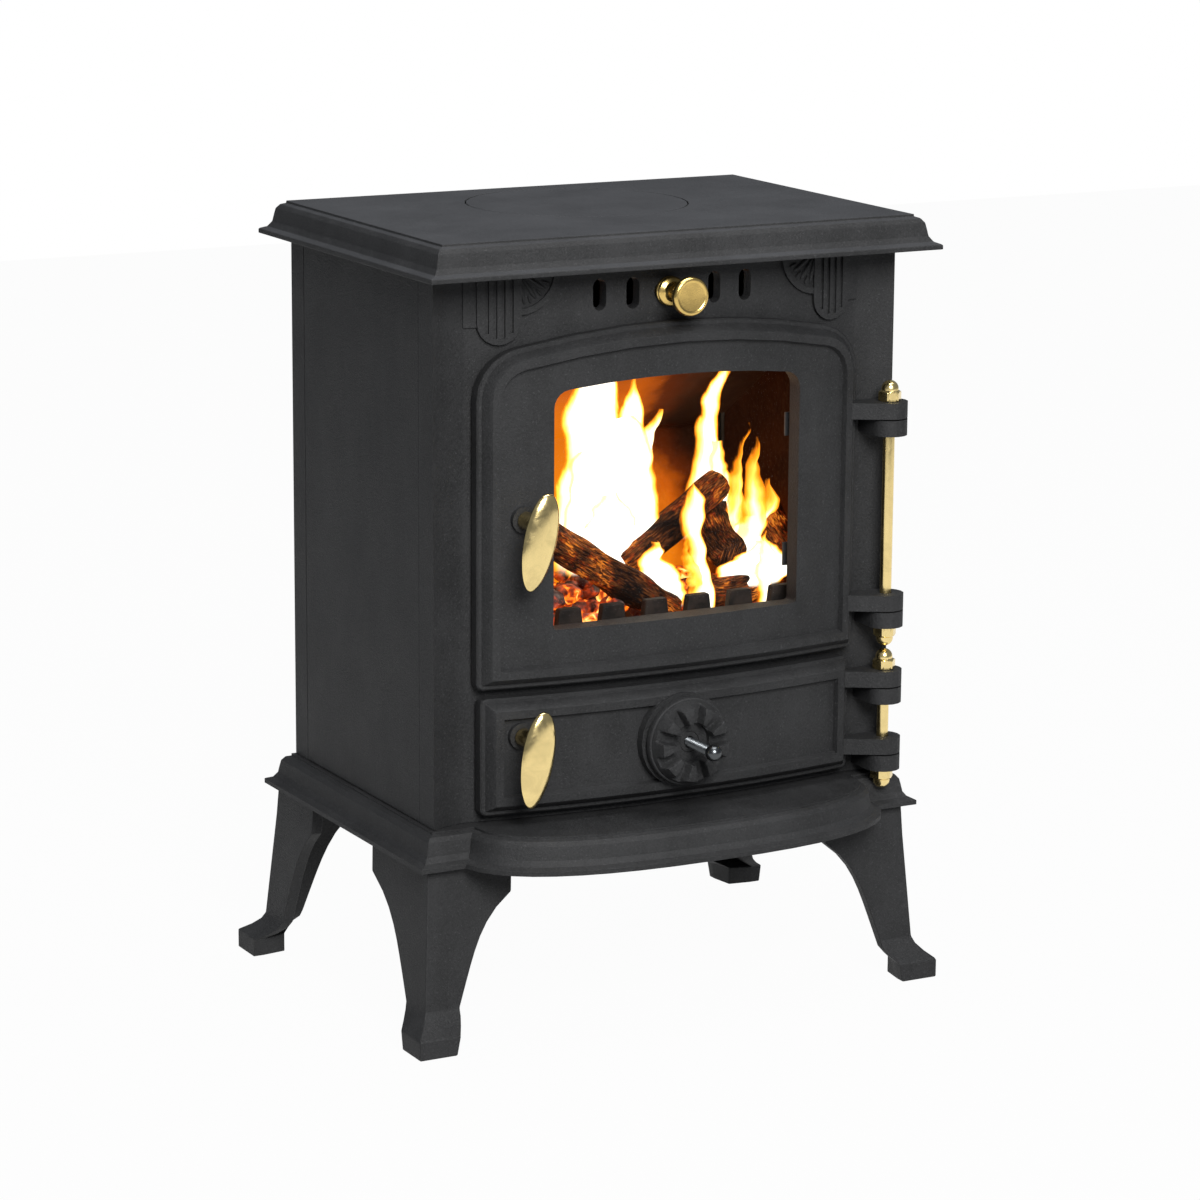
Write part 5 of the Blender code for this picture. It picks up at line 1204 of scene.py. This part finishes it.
class STOVE_OT_stage(StoveOperator):
    """Set the floor, lamps, world and camera"""

    bl_idname = "stove.stage"
    bl_label = "Studio"

    def execute(self, context):
        studio = context.scene.stove_studio
        self.floor(tuple(studio.floor_colour), half_size=3.5)
        self.lamp("key_lamp", place=(-0.7, -2.75, 2.0), size=1.3, power=studio.key)
        self.lamp("top_lamp", place=(0.1, -0.3, 2.6), size=1.6, power=studio.fill)
        self.world(context.scene)
        self.camera(context.scene, studio.lens)
        context.scene.view_settings.view_transform = "Standard"
        return {"FINISHED"}

    def floor(self, colour, half_size):
        bm = bmesh.new()
        bmesh.ops.create_grid(bm, x_segments=2, y_segments=2, size=half_size)
        mesh = meshed("studio_floor", bm)
        mesh.materials.append(studio_floor("studio_floor", colour))
        placed("studio_floor", mesh)

    def lamp(self, name, place, size, power):
        """A square soft box aimed at the stove's middle."""
        light = bpy.data.lights.new(name, "AREA")
        light.size = size
        light.energy = power
        obj = placed(name, light)
        obj.location = place
        aim = Vector((0, 0, 0.27)) - obj.location
        obj.rotation_mode = "QUATERNION"
        obj.rotation_quaternion = aim.to_track_quat("-Z", "Y")

    def world(self, scene):
        """White where it is seen straight or through glass, and a soft bluish light elsewhere."""
        scene.world = bpy.data.worlds.new("studio_world")
        sky = Nodes(scene.world)
        sky.tree.nodes.remove(sky.tree.nodes["Background"])
        soft = sky.add("Background", {}, (0.86, 0.91, 1.0), 0.25)
        white = sky.add("Background", {}, (1.0, 1.0, 1.0), 1.0)
        sky.show(sky.seen("Is Transmission Ray"), soft, white, "World Output")

    def camera(self, scene, lens):
        """Stands at the photograph's viewpoint: left of the front and a little above."""
        data = bpy.data.cameras.new("photo_camera")
        obj = placed("photo_camera", data)
        data.lens = lens
        data.sensor_width = 36
        data.clip_end = 30
        obj.location = (-1.31, -2.461 + SHIFT_Y, 0.892)
        heading, pitch, roll = math.radians(28.19), math.radians(12.76), math.radians(0.40)
        level = math.cos(pitch)
        aim = Vector((math.sin(heading) * level, math.cos(heading) * level, -math.sin(pitch)))
        turn = aim.to_track_quat("-Z", "Y").to_matrix() @ Matrix.Rotation(roll, 3, "Z")
        obj.rotation_mode = "QUATERNION"
        obj.rotation_quaternion = turn.to_quaternion()
        scene.camera = obj


# Panel


OPERATORS = (
    STOVE_OT_body,
    STOVE_OT_fixings,
    STOVE_OT_carving,
    STOVE_OT_doors,
    STOVE_OT_handles,
    STOVE_OT_hinges,
    STOVE_OT_air_controls,
    STOVE_OT_firebox,
    STOVE_OT_fire,
    STOVE_OT_stage,
)
SETTINGS = {
    "stove_iron": CastIronSettings,
    "stove_brass": BrassSettings,
    "stove_fire": FireSettings,
    "stove_studio": StudioSettings,
}


class STOVE_PT_panel(Panel):
    bl_label = "Multi-fuel Stove"
    bl_idname = "STOVE_PT_panel"
    bl_space_type = "VIEW_3D"
    bl_region_type = "UI"
    bl_category = "Stove"

    def draw(self, context):
        for name, group in SETTINGS.items():
            settings = getattr(context.scene, name)
            box = self.layout.box()
            for key in group.__annotations__:
                box.prop(settings, key)
        for operator in OPERATORS:
            self.layout.operator(operator.bl_idname)


def register():
    for cls in (*SETTINGS.values(), *OPERATORS, STOVE_PT_panel):
        bpy.utils.register_class(cls)
    for name, group in SETTINGS.items():
        setattr(bpy.types.Scene, name, PointerProperty(type=group))


def unregister():
    for name in SETTINGS:
        delattr(bpy.types.Scene, name)
    for cls in reversed((*SETTINGS.values(), *OPERATORS, STOVE_PT_panel)):
        bpy.utils.unregister_class(cls)


def main():
    register()
    for operator in OPERATORS:
        group, name = operator.bl_idname.split(".")
        getattr(getattr(bpy.ops, group), name)()


if __name__ == "__main__":
    main()
